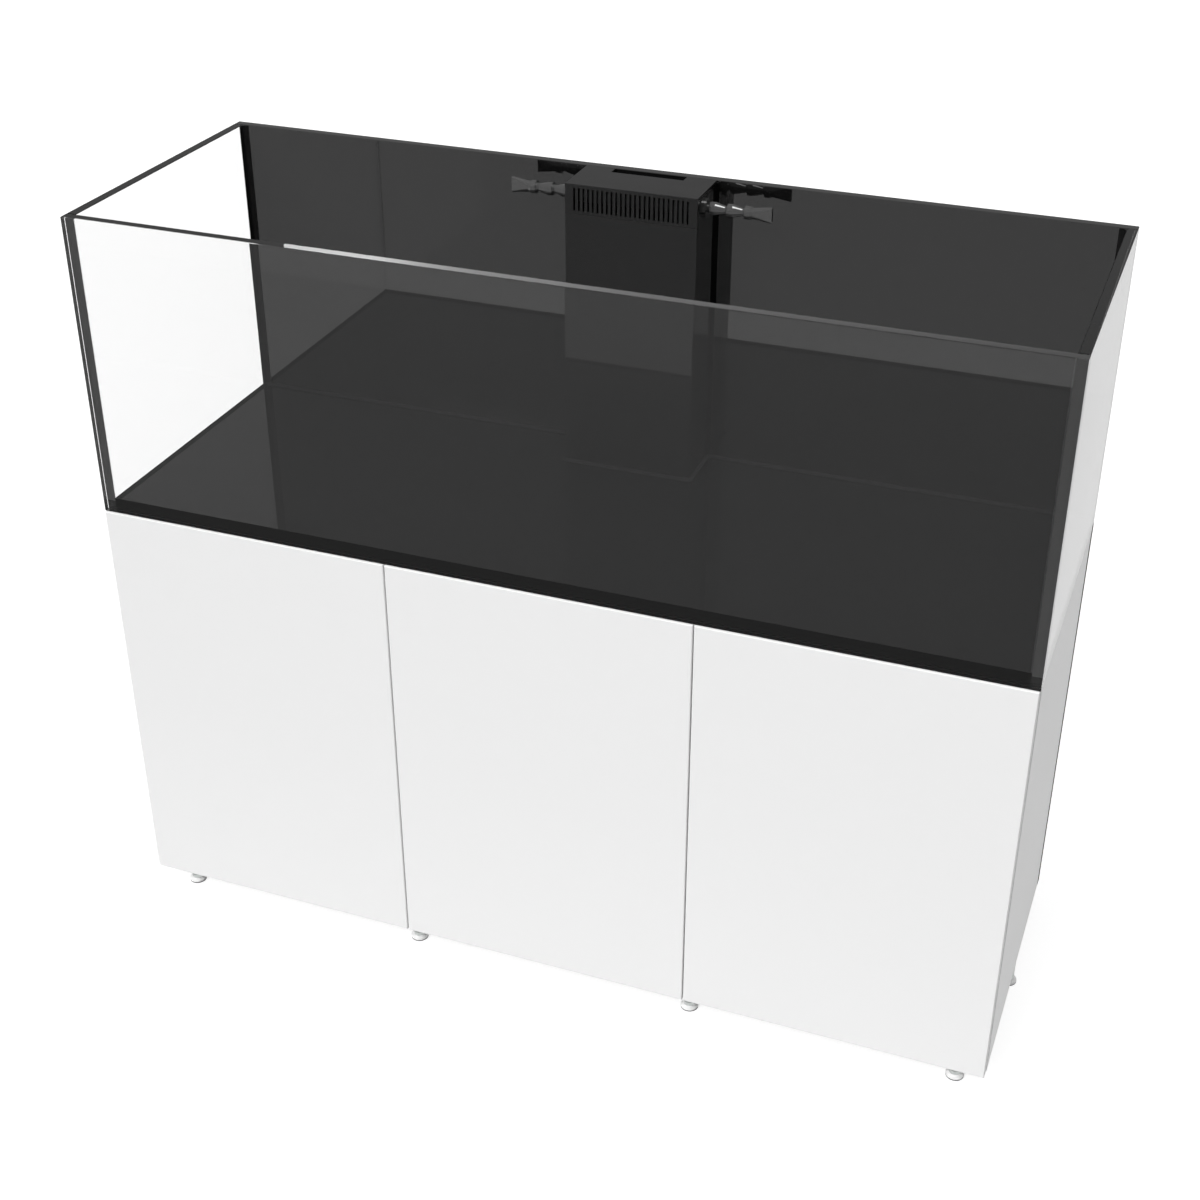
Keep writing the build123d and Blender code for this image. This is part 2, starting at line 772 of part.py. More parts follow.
def return_pump():
    """Return pump: motor and volute in one body, intake cover with a cage, impeller on a fixed shaft."""
    at_pump = Pos(0, pump_y, pump_z)
    shaft_front = volute_front - cover_thick
    well_end = volute_back + rotor_well_depth
    body = rod_x(motor_radius, (volute_back, motor_end)) + rod_x(volute_radius, (volute_front, volute_back))
    body += block(
        (volute_front, motor_end), (-pump_base_width / 2, pump_base_width / 2), (-pump_axis_height, 0)
    )
    body += rod_z(fitting_radius, outlet_x, pump_outlet_offset, (0, outlet_height))
    body -= rod_x(chamber_radius, (volute_front, volute_back - volute_wall))
    body -= rod_x(rotor_well_radius, (volute_front, well_end))
    body -= rod_z(pipe_bore, outlet_x, pump_outlet_offset, (0, outlet_height))
    body -= rod_z(pipe_socket, outlet_x, pump_outlet_offset, (outlet_height - socket_length, outlet_height))
    body += rod_x(shaft_radius, (shaft_front, well_end + volute_wall))
    save("pump_body", at_pump * body)

    plate = (shaft_front, volute_front)
    cage = (shaft_front - cage_length, shaft_front)
    cover = rod_x(volute_radius, plate) - rod_x(intake_radius, plate)
    cover += rod_x(cover_hub_radius, plate)
    for angle in (0, 90):
        cover += Rot(angle, 0, 0) * block(
            plate, (-intake_radius - cage_wall, intake_radius + cage_wall), (-cage_wall / 2, cage_wall / 2)
        )
    cover -= rod_x(shaft_radius + shaft_fit, plate)
    shell = rod_x(cage_radius, cage) - rod_x(cage_radius - cage_wall, (cage[0] + cage_wall, cage[1]))
    slot = block(
        (cage[0] + 2 * cage_wall, cage[1] - cage_wall),
        (0, 2 * cage_radius),
        (-cage_slot_width / 2, cage_slot_width / 2),
    )
    for index in range(cage_slot_count):
        shell -= Rot(360 * index / cage_slot_count, 0, 0) * slot
    save("pump_cover", at_pump * (cover + shell))

    disc_back = volute_back - volute_wall - impeller_gap
    disc_front = disc_back - impeller_disc
    vane_front = volute_front + impeller_gap
    rotor_end = well_end - impeller_gap
    impeller = rod_x(rotor_well_radius - rotor_gap, (vane_front, rotor_end))
    impeller += rod_x(impeller_radius, (disc_front, disc_back))
    vane = block((vane_front, disc_front), (0, impeller_radius), (-vane_thick / 2, vane_thick / 2))
    for index in range(vane_count):
        impeller += Rot(360 * index / vane_count, 0, 0) * vane
    impeller -= rod_x(shaft_radius + shaft_fit, (vane_front, rotor_end))
    save("pump_impeller", at_pump * impeller)


def drill_feet(board):
    """Board with a hole for each foot socket that stands under it."""
    box = board.bounding_box()
    for x, y in foot_places.values():
        if box.min.X < x < box.max.X:
            board -= rod_z(socket_radius + thread_fit, x, y, (foot_height, foot_height + socket_depth))
    return board


def feet():
    """Levelling feet with rubber-edged pads and threaded studs, and the sockets they turn in."""
    pad_top = foot_rubber_thick + foot_pad_thick
    crown_top = pad_top + foot_crown
    stem_top = foot_height - foot_seat_gap
    profile = Polyline(
        (0, 0),
        (foot_pad_radius, 0),
        (foot_pad_radius, pad_top),
        (foot_stem_radius, crown_top),
        (foot_stem_radius, stem_top),
        (foot_stud_radius, stem_top),
        (foot_stud_radius, foot_height + foot_stud_length),
        (0, foot_height + foot_stud_length),
        close=True,
    )
    foot = revolve(Plane.XZ * make_face(profile), Axis.Z)
    depth = (foot_height, foot_height + socket_depth)
    sockets = []
    for name, (x, y) in foot_places.items():
        save(name, Pos(x, y, 0) * foot)
        sockets.append(rod_z(socket_radius, x, y, depth) - rod_z(foot_stud_radius + thread_fit, x, y, depth))
    save("foot_sockets", *sockets)


def carcass():
    """Panels of the stand, without its doors."""
    deep = (carcass_front, boards_back)
    inside = (bay_left, bay_right)
    height = (foot_height, stand_top)
    left = block((-half_length, bay_left), deep, height)
    left = fillet(left.faces().sort_by(Axis.X)[0].edges(), panel_round)
    right = block((bay_right, half_length), deep, height)
    right = fillet(right.faces().sort_by(Axis.X)[-1].edges(), panel_round)
    save("left_side", drill_feet(left))
    save("right_side", drill_feet(right))

    opening_x = pipe_spacing + nut_radius + pipe_opening_margin
    opening_y = nut_radius + pipe_opening_margin
    top = block(inside, deep, (top_under, stand_top))
    top -= block((-opening_x, opening_x), (pipe_y - opening_y, pipe_y + opening_y), (top_under, stand_top))
    save("top_board", top)
    save("bottom_board", drill_feet(block(inside, deep, (foot_height, bottom_top))))

    dividers = []
    for x in divider_centres:
        panel = block((x - board_thick / 2, x + board_thick / 2), deep, (bottom_top, top_under))
        hole = (x - board_thick, x + board_thick)
        dividers.append(panel - rod_x(pass_hole_radius, hole, pass_hole_y, pass_hole_z))
    save("dividers", *dividers)

    back = block((-half_length, half_length), (boards_back, carcass_back), height)
    window_outline = RectangleRounded(cable_hole_width, cable_hole_height, cable_hole_round)
    window = extrude(window_outline, back_thick, both=True)
    for low, high in bays:
        centre = Pos((low + high) / 2, boards_back + back_thick / 2, top_under - cable_hole_drop)
        back -= centre * Rot(90, 0, 0) * window
    save("back_panel", back)

    rails = [
        block((low, high), (carcass_front, carcass_front + board_thick), (rail_under, top_under))
        for low, high in bays
    ]
    save("top_rails", *rails)


def hinge_cup(edge_x, inward, z):
    """Steel cup with its flange and pin; edge_x is the door's hinge edge, inward points along the door."""
    cup_x = edge_x + inward * (cup_edge_distance + cup_radius)
    pivot_x = edge_x + inward * pivot_from_edge
    floor = door_back - cup_depth
    outer = (floor, door_back)
    cup = rod_y(cup_radius, cup_x, outer, z)
    flange = Pos(cup_x, door_back, z) * Rot(90, 0, 0) * extrude(
        RectangleRounded(cup_flange_width, cup_flange_height, cup_flange_width / 4), -cup_flange_thick
    )
    cup += flange
    cup -= rod_y(cup_radius - cup_wall, cup_x, (floor + cup_wall, door_back + cup_flange_thick), z)
    bar = rod_z(hinge_pin_radius, pivot_x, pivot_y, (z - cup_radius, z + cup_radius))
    return cup + (bar & rod_y(cup_radius - cup_wall / 2, cup_x, outer, z))


def hinge_arm(edge_x, inward, panel_x, crank, z):
    """Cranked arm: an eye on the pin, a strap that leaves the cup, and a plate on the panel face."""
    pivot_x = edge_x + inward * pivot_from_edge
    strap_x = pivot_x + inward * crank
    half = arm_thick / 2
    level = (z - arm_height / 2, z + arm_height / 2)
    plate_y = (carcass_front + plate_setback, carcass_front + plate_setback + plate_length)
    arm = rod_z(hinge_eye_radius, pivot_x, pivot_y, level)
    arm += block(around(pivot_x, strap_x + inward * half), (pivot_y - half, pivot_y + half), level)
    arm += block((strap_x - half, strap_x + half), (pivot_y - half, plate_y[1]), level)
    plate_z = (z - plate_height / 2, z + plate_height / 2)
    arm += block(around(panel_x, strap_x + inward * half), plate_y, plate_z)
    return arm - rod_z(hinge_pin_radius + hinge_fit, pivot_x, pivot_y, level)


def doors():
    """Three overlay doors with their hinge cups, and the hinge arms on the panels."""
    hung = {
        "left": (left_edge, divider_centres[0] - door_gap / 2, 1, bay_left, side_arm_crank),
        "middle": (
            divider_centres[0] + door_gap / 2,
            divider_centres[1] - door_gap / 2,
            1,
            middle_bay[0],
            divider_arm_crank,
        ),
        "right": (divider_centres[1] + door_gap / 2, right_edge, -1, bay_right, side_arm_crank),
    }
    arms = []
    for name, (low, high, inward, panel_x, crank) in hung.items():
        edge_x = low if inward > 0 else high
        cup_x = edge_x + inward * (cup_edge_distance + cup_radius)
        door = block((low, high), (door_front, door_back), (door_low, door_high))
        front_edges = door.faces().sort_by(Axis.Y)[0].edges()
        rear_uprights = door.edges().filter_by(Axis.Z).group_by(Axis.Y)[-1]
        door = fillet([*front_edges, *rear_uprights], door_round)
        for z in hinge_levels:
            door -= rod_y(cup_radius + cup_fit, cup_x, (door_back - cup_depth, door_back), z)
        save(name + "_door", door)
        save(name + "_hinge_cups", *[hinge_cup(edge_x, inward, z) for z in hinge_levels])
        arms += [hinge_arm(edge_x, inward, panel_x, crank, z) for z in hinge_levels]
    save("hinge_arms", *arms)


def latches():
    """Push latches under the top rails, near each door's free edge."""
    places = {
        "left": left_bay[1] - latch_edge_distance,
        "middle": middle_bay[1] - latch_edge_distance,
        "right": right_bay[0] + latch_edge_distance,
    }
    latch_z = rail_under - latch_width / 2
    tip = door_back + plunger_door_gap
    plunger_end = tip + plunger_length
    bodies = []
    for name, x in places.items():
        body = block(
            (x - latch_width / 2, x + latch_width / 2),
            (carcass_front, carcass_front + latch_length),
            (rail_under - latch_width, rail_under),
        )
        bore = (carcass_front, plunger_end + 2 * plunger_travel)
        bodies.append(body - rod_y(plunger_radius + plunger_fit, x, bore, latch_z))
        save(name + "_latch_plunger", rod_y(plunger_radius, x, (tip, plunger_end), latch_z))
    save("latch_bodies", *bodies)


os.makedirs("parts", exist_ok=True)
glass_panes()
silicone()
overflow_plates()
overflow_lid()
return_nozzles()
bulkheads()
overflow_pipes()
drain_pipes()
gate_valve()
return_line()
sump()
return_pump()
carcass()
doors()
latches()
feet()
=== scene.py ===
"""Dresses the aquarium and its stand: finishes, small fittings, floor, light and camera."""
import math

import bmesh
import bpy
from mathutils import Matrix, Vector


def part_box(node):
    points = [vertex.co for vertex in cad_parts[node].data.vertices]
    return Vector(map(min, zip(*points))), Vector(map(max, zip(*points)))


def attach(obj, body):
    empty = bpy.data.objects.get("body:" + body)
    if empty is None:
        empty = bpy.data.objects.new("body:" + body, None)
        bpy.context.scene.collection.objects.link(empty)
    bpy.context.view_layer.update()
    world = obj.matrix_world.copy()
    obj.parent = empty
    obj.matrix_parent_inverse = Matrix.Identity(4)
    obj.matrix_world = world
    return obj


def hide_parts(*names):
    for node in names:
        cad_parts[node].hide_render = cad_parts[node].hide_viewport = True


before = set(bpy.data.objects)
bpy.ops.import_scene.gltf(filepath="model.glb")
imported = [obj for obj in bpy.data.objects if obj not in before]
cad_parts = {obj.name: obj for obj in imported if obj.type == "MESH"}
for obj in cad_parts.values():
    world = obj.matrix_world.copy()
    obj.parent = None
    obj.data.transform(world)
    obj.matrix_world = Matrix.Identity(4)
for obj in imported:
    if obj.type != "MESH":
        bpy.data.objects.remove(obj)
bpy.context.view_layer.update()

bl_info = {
    "name": "Aquarium on stand",
    "version": (1, 0, 0),
    "blender": (4, 5, 0),
    "location": "View3D > Sidebar > Aquarium",
    "description": "Dresses the aquarium and its stand: finishes, fittings, floor, light and camera",
    "category": "Object",
}

MM = 0.001
AXES = {"X": Vector((1.0, 0.0, 0.0)), "Y": Vector((0.0, 1.0, 0.0)), "Z": Vector((0.0, 0.0, 1.0))}
FEET = sorted(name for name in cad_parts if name.startswith("foot_") and name != "foot_sockets")
DOORS = ("left", "middle", "right")
ROOT = "stand_and_tank"
WHITE = "#FFFFFF"
# Colour sockets of the Mix node.
MIX_FIRST, MIX_SECOND, MIX_RESULT = 6, 7, 2
# Vertices that are closer than this become one.
WELD_GAP = 0.001 * MM
# Edges that turn by more than this stay sharp.
SHARP_ANGLE = math.radians(35)
# Section of a drawn bead, as shares of its leg along the two panes.
BEAD_SECTION = ((1.0, 0.0), (0.62, 0.09), (0.34, 0.24), (0.24, 0.34), (0.09, 0.62), (0.0, 1.0))


def linear(code):
    """Linear colour with alpha from an sRGB hex value."""
    parts = [int(code[index:index + 2], 16) / 255 for index in (1, 3, 5)]
    return [c / 12.92 if c <= 0.04045 else ((c + 0.055) / 1.055) ** 2.4 for c in parts] + [1.0]


def add(tree, kind, sockets=None, **settings):
    """Add a node, set its options, and set or link its sockets."""
    node = tree.nodes.new(kind)
    for name, value in settings.items():
        setattr(node, name, value)
    for name, value in (sockets or {}).items():
        if isinstance(value, bpy.types.NodeSocket):
            tree.links.new(value, node.inputs[name])
        else:
            node.inputs[name].default_value = value
    return node


def bare_tree(block):
    """Emptied node tree of a material or a world."""
    block.use_nodes = True
    block.node_tree.nodes.clear()
    return block.node_tree


def new_finish(name, **sockets):
    """Material with a Principled shader; returns the material, its tree and the shader."""
    material = bpy.data.materials.new(name)
    tree = bare_tree(material)
    values = {key.replace("_", " "): value for key, value in sockets.items()}
    shader = add(tree, "ShaderNodeBsdfPrincipled", values)
    add(tree, "ShaderNodeOutputMaterial", {"Surface": shader.outputs["BSDF"]})
    return material, tree, shader


def per_mm(size):
    """Texture scale at which one pattern feature has this size in millimetres."""
    return 1.0 / (size * MM)


def clear_glass(settings):
    """Polished float glass: sharp reflections, and ground arrises that stay a little matt."""
    arris_slope, arris_reach, arris_roughness = 0.7071, 0.1, 0.12
    tint = linear(settings.glass_tint)
    material, tree, shader = new_finish("Float glass", Base_Color=tint, IOR=1.5, Transmission_Weight=1.0)
    normal = add(tree, "ShaderNodeNewGeometry")
    parts = add(tree, "ShaderNodeSeparateXYZ", {"Vector": normal.outputs["Normal"]})
    upright = add(tree, "ShaderNodeMath", {0: parts.outputs["Z"], 1: arris_slope}, operation="SUBTRACT")
    slope = add(tree, "ShaderNodeMath", {0: upright.outputs[0]}, operation="ABSOLUTE")
    arris = add(tree, "ShaderNodeMath", {0: slope.outputs[0], 1: arris_reach}, operation="LESS_THAN")
    matt = add(tree, "ShaderNodeMath", {0: arris.outputs[0], 1: arris_roughness}, operation="MULTIPLY")
    tree.links.new(matt.outputs[0], shader.inputs["Roughness"])
    return material


def sump_glass():
    """Thin float glass: nearly bare, with wipe marks and a green tint that gathers where panes overlap."""
    material, tree, shader = new_finish("Sump glass", Base_Color=linear("#B5CEC4"), Alpha=0.05, IOR=1.5)
    place = add(tree, "ShaderNodeTexCoord").outputs["Object"]
    wipes = add(tree, "ShaderNodeTexNoise", {"Vector": place, "Scale": per_mm(40), "Detail": 3.0})
    gloss = add(tree, "ShaderNodeMapRange", {"Value": wipes.outputs["Fac"], "To Min": 0.0, "To Max": 0.06})
    tree.links.new(gloss.outputs["Result"], shader.inputs["Roughness"])
    return material


def black_glass(name, settings, index):
    """Glass with a black coat behind it: a black mirror whose polish varies a little over some 300 mm."""
    material, tree, shader = new_finish(name, Base_Color=linear(settings.black_coat), IOR=index)
    place = add(tree, "ShaderNodeTexCoord").outputs["Object"]
    polish = add(tree, "ShaderNodeTexNoise", {"Vector": place, "Scale": per_mm(300), "Detail": 1.0})
    gloss = add(tree, "ShaderNodeMapRange", {"Value": polish.outputs["Fac"], "To Min": 0.005, "To Max": 0.02})
    tree.links.new(gloss.outputs["Result"], shader.inputs["Roughness"])
    return material


def silicone_sealant(name, colour, roughness, **sockets):
    """Silicone drawn with a tool: soft sheen, with faint drag marks some 15 mm long."""
    tint = linear(colour)
    material, tree, shader = new_finish(name, Base_Color=tint, IOR=1.41, Roughness=roughness, **sockets)
    place = add(tree, "ShaderNodeTexCoord").outputs["Object"]
    drag = add(tree, "ShaderNodeTexNoise", {"Vector": place, "Scale": per_mm(15), "Detail": 2.0})
    marks = {"Height": drag.outputs["Fac"], "Strength": 0.25, "Distance": 0.4 * MM}
    bump = add(tree, "ShaderNodeBump", marks)
    tree.links.new(bump.outputs["Normal"], shader.inputs["Normal"])
    return material


def joint_silicone(settings):
    """Black silicone round the base, dull: black on faces that point sideways or down, with a paler grey
    painted on faces that point up, as painted light.
    """
    material, tree, shader = new_finish("Joint silicone", Roughness=0.9, IOR=1.1)
    normal = add(tree, "ShaderNodeNewGeometry")
    parts = add(tree, "ShaderNodeSeparateXYZ", {"Vector": normal.outputs["Normal"]})
    # Faces that point up get the paler bead grey: painted light on the top of the bead, not a colour of the
    # silicone.
    drawn = add(tree, "ShaderNodeMapRange", {"Value": parts.outputs["Z"], "From Min": 0.05, "From Max": 0.2})
    tones = {MIX_FIRST: linear(settings.silicone), MIX_SECOND: linear(settings.bead)}
    shade = add(tree, "ShaderNodeMix", {"Factor": drawn.outputs["Result"], **tones}, data_type="RGBA")
    tree.links.new(shade.outputs[MIX_RESULT], shader.inputs["Base Color"])
    return material


def cast_acrylic(settings):
    """Black cast acrylic: as glossy as glass, with hairline wipe marks that only touch the gloss."""
    material, tree, shader = new_finish("Cast acrylic", Base_Color=linear(settings.black_acrylic), IOR=1.49)
    place = add(tree, "ShaderNodeTexCoord").outputs["Object"]
    tall = add(tree, "ShaderNodeMapping", {"Vector": place, "Scale": (1.0, 1.0, 0.08)}).outputs["Vector"]
    wipes = add(tree, "ShaderNodeTexNoise", {"Vector": tall, "Scale": per_mm(6), "Detail": 4.0})
    gloss = add(tree, "ShaderNodeMapRange", {"Value": wipes.outputs["Fac"], "To Min": 0.01, "To Max": 0.05})
    tree.links.new(gloss.outputs["Result"], shader.inputs["Roughness"])
    return material


def moulded_plastic(name, colour, roughness, grain_mm, strength, index=1.5):
    """Moulded plastic: even colour with a fine spark-eroded grain, drawn coarse enough to show."""
    gloss_spread = 0.05
    material, tree, shader = new_finish(name, Base_Color=linear(colour), IOR=index)
    place = add(tree, "ShaderNodeTexCoord").outputs["Object"]
    grain = add(tree, "ShaderNodeTexNoise", {"Vector": place, "Scale": per_mm(grain_mm), "Detail": 3.0})
    relief = {"Height": grain.outputs["Fac"], "Strength": strength, "Distance": 0.15 * MM}
    bump = add(tree, "ShaderNodeBump", relief)
    tree.links.new(bump.outputs["Normal"], shader.inputs["Normal"])
    shade = add(tree, "ShaderNodeTexNoise", {"Vector": place, "Scale": per_mm(60), "Detail": 2.0})
    ends = {"To Min": roughness - gloss_spread, "To Max": roughness + gloss_spread}
    gloss = add(tree, "ShaderNodeMapRange", {"Value": shade.outputs["Fac"], **ends})
    tree.links.new(gloss.outputs["Result"], shader.inputs["Roughness"])
    return material


def white_lacquer(settings):
    """Sprayed white lacquer on board: soft gloss with an orange peel about 2 mm across."""
    tint = linear(settings.lacquer)
    material, tree, shader = new_finish("White lacquer", Base_Color=tint, IOR=1.5, Roughness=0.28)
    place = add(tree, "ShaderNodeTexCoord").outputs["Object"]
    peel = add(tree, "ShaderNodeTexNoise", {"Vector": place, "Scale": per_mm(2.2), "Detail": 1.0})
    relief = {"Height": peel.outputs["Fac"], "Strength": 0.06, "Distance": 0.1 * MM}
    bump = add(tree, "ShaderNodeBump", relief)
    tree.links.new(bump.outputs["Normal"], shader.inputs["Normal"])
    return material


def white_melamine(settings):
    """Melamine-faced board: matt white with a pearl texture about 1.5 mm across."""
    tint = linear(settings.melamine)
    material, tree, shader = new_finish("White melamine", Base_Color=tint, IOR=1.5, Roughness=0.5)
    place = add(tree, "ShaderNodeTexCoord").outputs["Object"]
    pearl = add(tree, "ShaderNodeTexVoronoi", {"Vector": place, "Scale": per_mm(1.5)})
    relief = {"Height": pearl.outputs["Distance"], "Strength": 0.12, "Distance": 0.1 * MM}
    bump = add(tree, "ShaderNodeBump", relief)
    tree.links.new(bump.outputs["Normal"], shader.inputs["Normal"])
    return material


def painted_shade_fibre():
    """Dark, dead matt colour that stands for the shade along the rear edges: painted shade, with a fibre
    grain about 1.5 mm across.
    """
    material, tree, shader = new_finish("Painted shade on rear edges", Roughness=1.0, Specular_IOR_Level=0.0)
    place = add(tree, "ShaderNodeTexCoord").outputs["Object"]
    fibre = add(tree, "ShaderNodeTexNoise", {"Vector": place, "Scale": per_mm(1.5), "Detail": 4.0})
    # Two dark tones, blended by the grain: painted shade at the rear edges.
    tones = {MIX_FIRST: linear("#242322"), MIX_SECOND: linear("#3A3836")}
    shade = add(tree, "ShaderNodeMix", {"Factor": fibre.outputs["Fac"], **tones}, data_type="RGBA")
    tree.links.new(shade.outputs[MIX_RESULT], shader.inputs["Base Color"])
    return material


def plated_steel(name, colour, roughness):
    """Plated or bare metal: bright, with a gloss that varies in patches of about 8 mm."""
    gloss_spread = 0.08
    material, tree, shader = new_finish(name, Base_Color=linear(colour), Metallic=1.0)
    place = add(tree, "ShaderNodeTexCoord").outputs["Object"]
    patch = add(tree, "ShaderNodeTexNoise", {"Vector": place, "Scale": per_mm(8), "Detail": 3.0})
    ends = {"To Min": roughness - gloss_spread, "To Max": roughness + gloss_spread}
    gloss = add(tree, "ShaderNodeMapRange", {"Value": patch.outputs["Fac"], **ends})
    tree.links.new(gloss.outputs["Result"], shader.inputs["Roughness"])
    return material


def drawn_pipe(settings):
    """Grey PVC pipe: satin, with faint lines along its length from the die."""
    material, tree, shader = new_finish("PVC pipe", Base_Color=linear(settings.pipe), IOR=1.53)
    place = add(tree, "ShaderNodeTexCoord").outputs["Object"]
    along = add(tree, "ShaderNodeMapping", {"Vector": place, "Scale": (1.0, 1.0, 0.03)}).outputs["Vector"]
    lines = add(tree, "ShaderNodeTexNoise", {"Vector": along, "Scale": per_mm(3), "Detail": 3.0})
    gloss = add(tree, "ShaderNodeMapRange", {"Value": lines.outputs["Fac"], "To Min": 0.32, "To Max": 0.5})
    tree.links.new(gloss.outputs["Result"], shader.inputs["Roughness"])
    return material


def dress(names, material):
    """Give CAD nodes one material."""
    for name in names:
        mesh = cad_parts[name].data
        mesh.materials.clear()
        mesh.materials.append(material)


def linked_object(name, shape, materials):
    """Turn a bmesh into an object of the scene."""
    mesh = bpy.data.meshes.new(name)
    shape.to_mesh(mesh)
    shape.free()
    for material in materials:
        mesh.materials.append(material)
    item = bpy.data.objects.new(name, mesh)
    bpy.context.scene.collection.objects.link(item)
    return item


def finished_piece(name, shape, materials, body):
    """Turn a bmesh into a piece that rides on a body."""
    bmesh.ops.remove_doubles(shape, verts=shape.verts, dist=WELD_GAP)
    bmesh.ops.recalc_face_normals(shape, faces=shape.faces)
    for face in shape.faces:
        face.smooth = True
    for edge in shape.edges:
        edge.smooth = edge.calc_face_angle(0.0) < SHARP_ANGLE
    piece = linked_object(name, shape, materials)
    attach(piece, body)
    return piece


def verts_made(result):
    """Vertices among the geometry that a bmesh operator made."""
    return [item for item in result["geom"] if isinstance(item, bmesh.types.BMVert)]


def edges_between(shape, verts):
    """Edges that have both ends among these vertices."""
    return [edge for edge in shape.edges if all(vert in verts for vert in edge.verts)]


def paint_new(shape, before, material):
    """Give the faces that weren't there before one material index."""
    for face in set(shape.faces) - before:
        face.material_index = material


def in_mm(points):
    """Profile points in metres from points in millimetres."""
    return [(radius * MM, height * MM) for radius, height in points]


def spin_profile(shape, profile, centre, axis="Z", steps=48, material=0, closed=False):
    """Turn a profile of radius and height points, in metres, about an axis through a centre."""
    out = AXES["Y" if axis == "X" else "X"]
    origin = Vector(centre)
    points = [shape.verts.new(origin + out * radius + AXES[axis] * height) for radius, height in profile]
    ends = points[1:] + points[:1] if closed else points[1:]
    edges = [shape.edges.new(pair) for pair in zip(points, ends)]
    before = set(shape.faces)
    bmesh.ops.spin(
        shape,
        geom=points + edges,
        cent=centre,
        axis=AXES[axis],
        dvec=(0.0, 0.0, 0.0),
        angle=2 * math.pi,
        steps=steps,
        use_merge=True,
    )
    paint_new(shape, before, material)


def break_edges(shape, edges, offset, segments):
    """Round edges off."""
    bmesh.ops.bevel(
        shape,
        geom=edges,
        offset=offset,
        offset_type="OFFSET",
        affect="EDGES",
        segments=segments,
        profile=0.5,
        material=-1,
    )


def plain_block(shape, low, high):
    """Add a block between two corners, in metres, and return its vertices."""
    low, high = Vector(low), Vector(high)
    made = bmesh.ops.create_cube(shape, size=1.0)["verts"]
    bmesh.ops.scale(shape, vec=high - low, verts=made)
    bmesh.ops.translate(shape, vec=(high + low) / 2, verts=made)
    return made


def rounded_block(shape, low, high, radius, segments=3):
    """Add a block between two corners, in metres, with all its edges rounded."""
    made = plain_block(shape, low, high)
    break_edges(shape, list({edge for vert in made for edge in vert.link_edges}), radius, segments)


def tooled_bead(shape, start, end, first, second, leg):
    """Add a bead with a hollow face along a corner; first and second point along the two panes it joins."""
    start, end, first, second = Vector(start), Vector(end), Vector(first), Vector(second)
    outline = [shape.verts.new(start)]
    outline += [shape.verts.new(start + leg * (first * a + second * b)) for a, b in BEAD_SECTION]
    moved = verts_made(bmesh.ops.extrude_face_region(shape, geom=[shape.faces.new(outline)]))
    bmesh.ops.translate(shape, verts=moved, vec=end - start)


def seat_turn(outward):
    """Matrix that turns a fastener from upright to the way its head points."""
    return AXES["Z"].rotation_difference(Vector(outward)).to_matrix().to_4x4()


def bolt_head(shape, place, outward, radius, height):
    """Hexagon bolt head with a broken edge; place is its seat and outward is the way it points."""
    arris, arris_steps = 0.15 * height, 2
    seat = Matrix.Translation(place) @ seat_turn(outward) @ Matrix.Translation((0.0, 0.0, height / 2))
    made = bmesh.ops.create_cone(
        shape, cap_ends=True, segments=6, radius1=radius, radius2=radius, depth=height, matrix=seat
    )["verts"]
    top = [vert for vert in made if (vert.co - Vector(place)).dot(Vector(outward)) > height / 2]
    break_edges(shape, edges_between(shape, top), arris, arris_steps)


def screw_head(shape, place, outward, radius, height):
    """Pan-head screw with a cross recess; place is its seat and outward is the way its head points."""
    rim_height, crown_share, recess_depth = 0.55 * height, 0.72, 0.5 * height
    arm, half = 0.55 * radius, 0.13 * radius
    head = bmesh.new()
    foot = bmesh.ops.create_circle(head, segments=24, radius=radius, cap_ends=False)["verts"]
    rim = verts_made(bmesh.ops.extrude_edge_only(head, edges=head.edges[:]))
    bmesh.ops.translate(head, verts=rim, vec=(0.0, 0.0, rim_height))
    crown = verts_made(bmesh.ops.extrude_edge_only(head, edges=edges_between(head, rim)))
    bmesh.ops.scale(head, verts=crown, vec=(crown_share, crown_share, 1.0))
    bmesh.ops.translate(head, verts=crown, vec=(0.0, 0.0, height - rim_height))
    crown_edges = edges_between(head, crown)
    corners = [(arm, -half), (arm, half), (half, half), (half, arm), (-half, arm), (-half, half)]
    corners += [(-x, -y) for x, y in corners]
    cross = [head.verts.new((x, y, height)) for x, y in corners]
    cross_edges = [head.edges.new(pair) for pair in zip(cross, cross[1:] + cross[:1])]
    bmesh.ops.bridge_loops(head, edges=crown_edges + cross_edges)
    deep = verts_made(bmesh.ops.extrude_edge_only(head, edges=cross_edges))
    bmesh.ops.translate(head, verts=deep, vec=(0.0, 0.0, -recess_depth))
    bmesh.ops.contextual_create(head, geom=deep)
    bmesh.ops.contextual_create(head, geom=foot)
    bmesh.ops.transform(head, matrix=Matrix.Translation(place) @ seat_turn(outward), verts=head.verts)
    mesh = bpy.data.meshes.new("screw head")
    head.to_mesh(mesh)
    head.free()
    shape.from_mesh(mesh)
    bpy.data.meshes.remove(mesh)


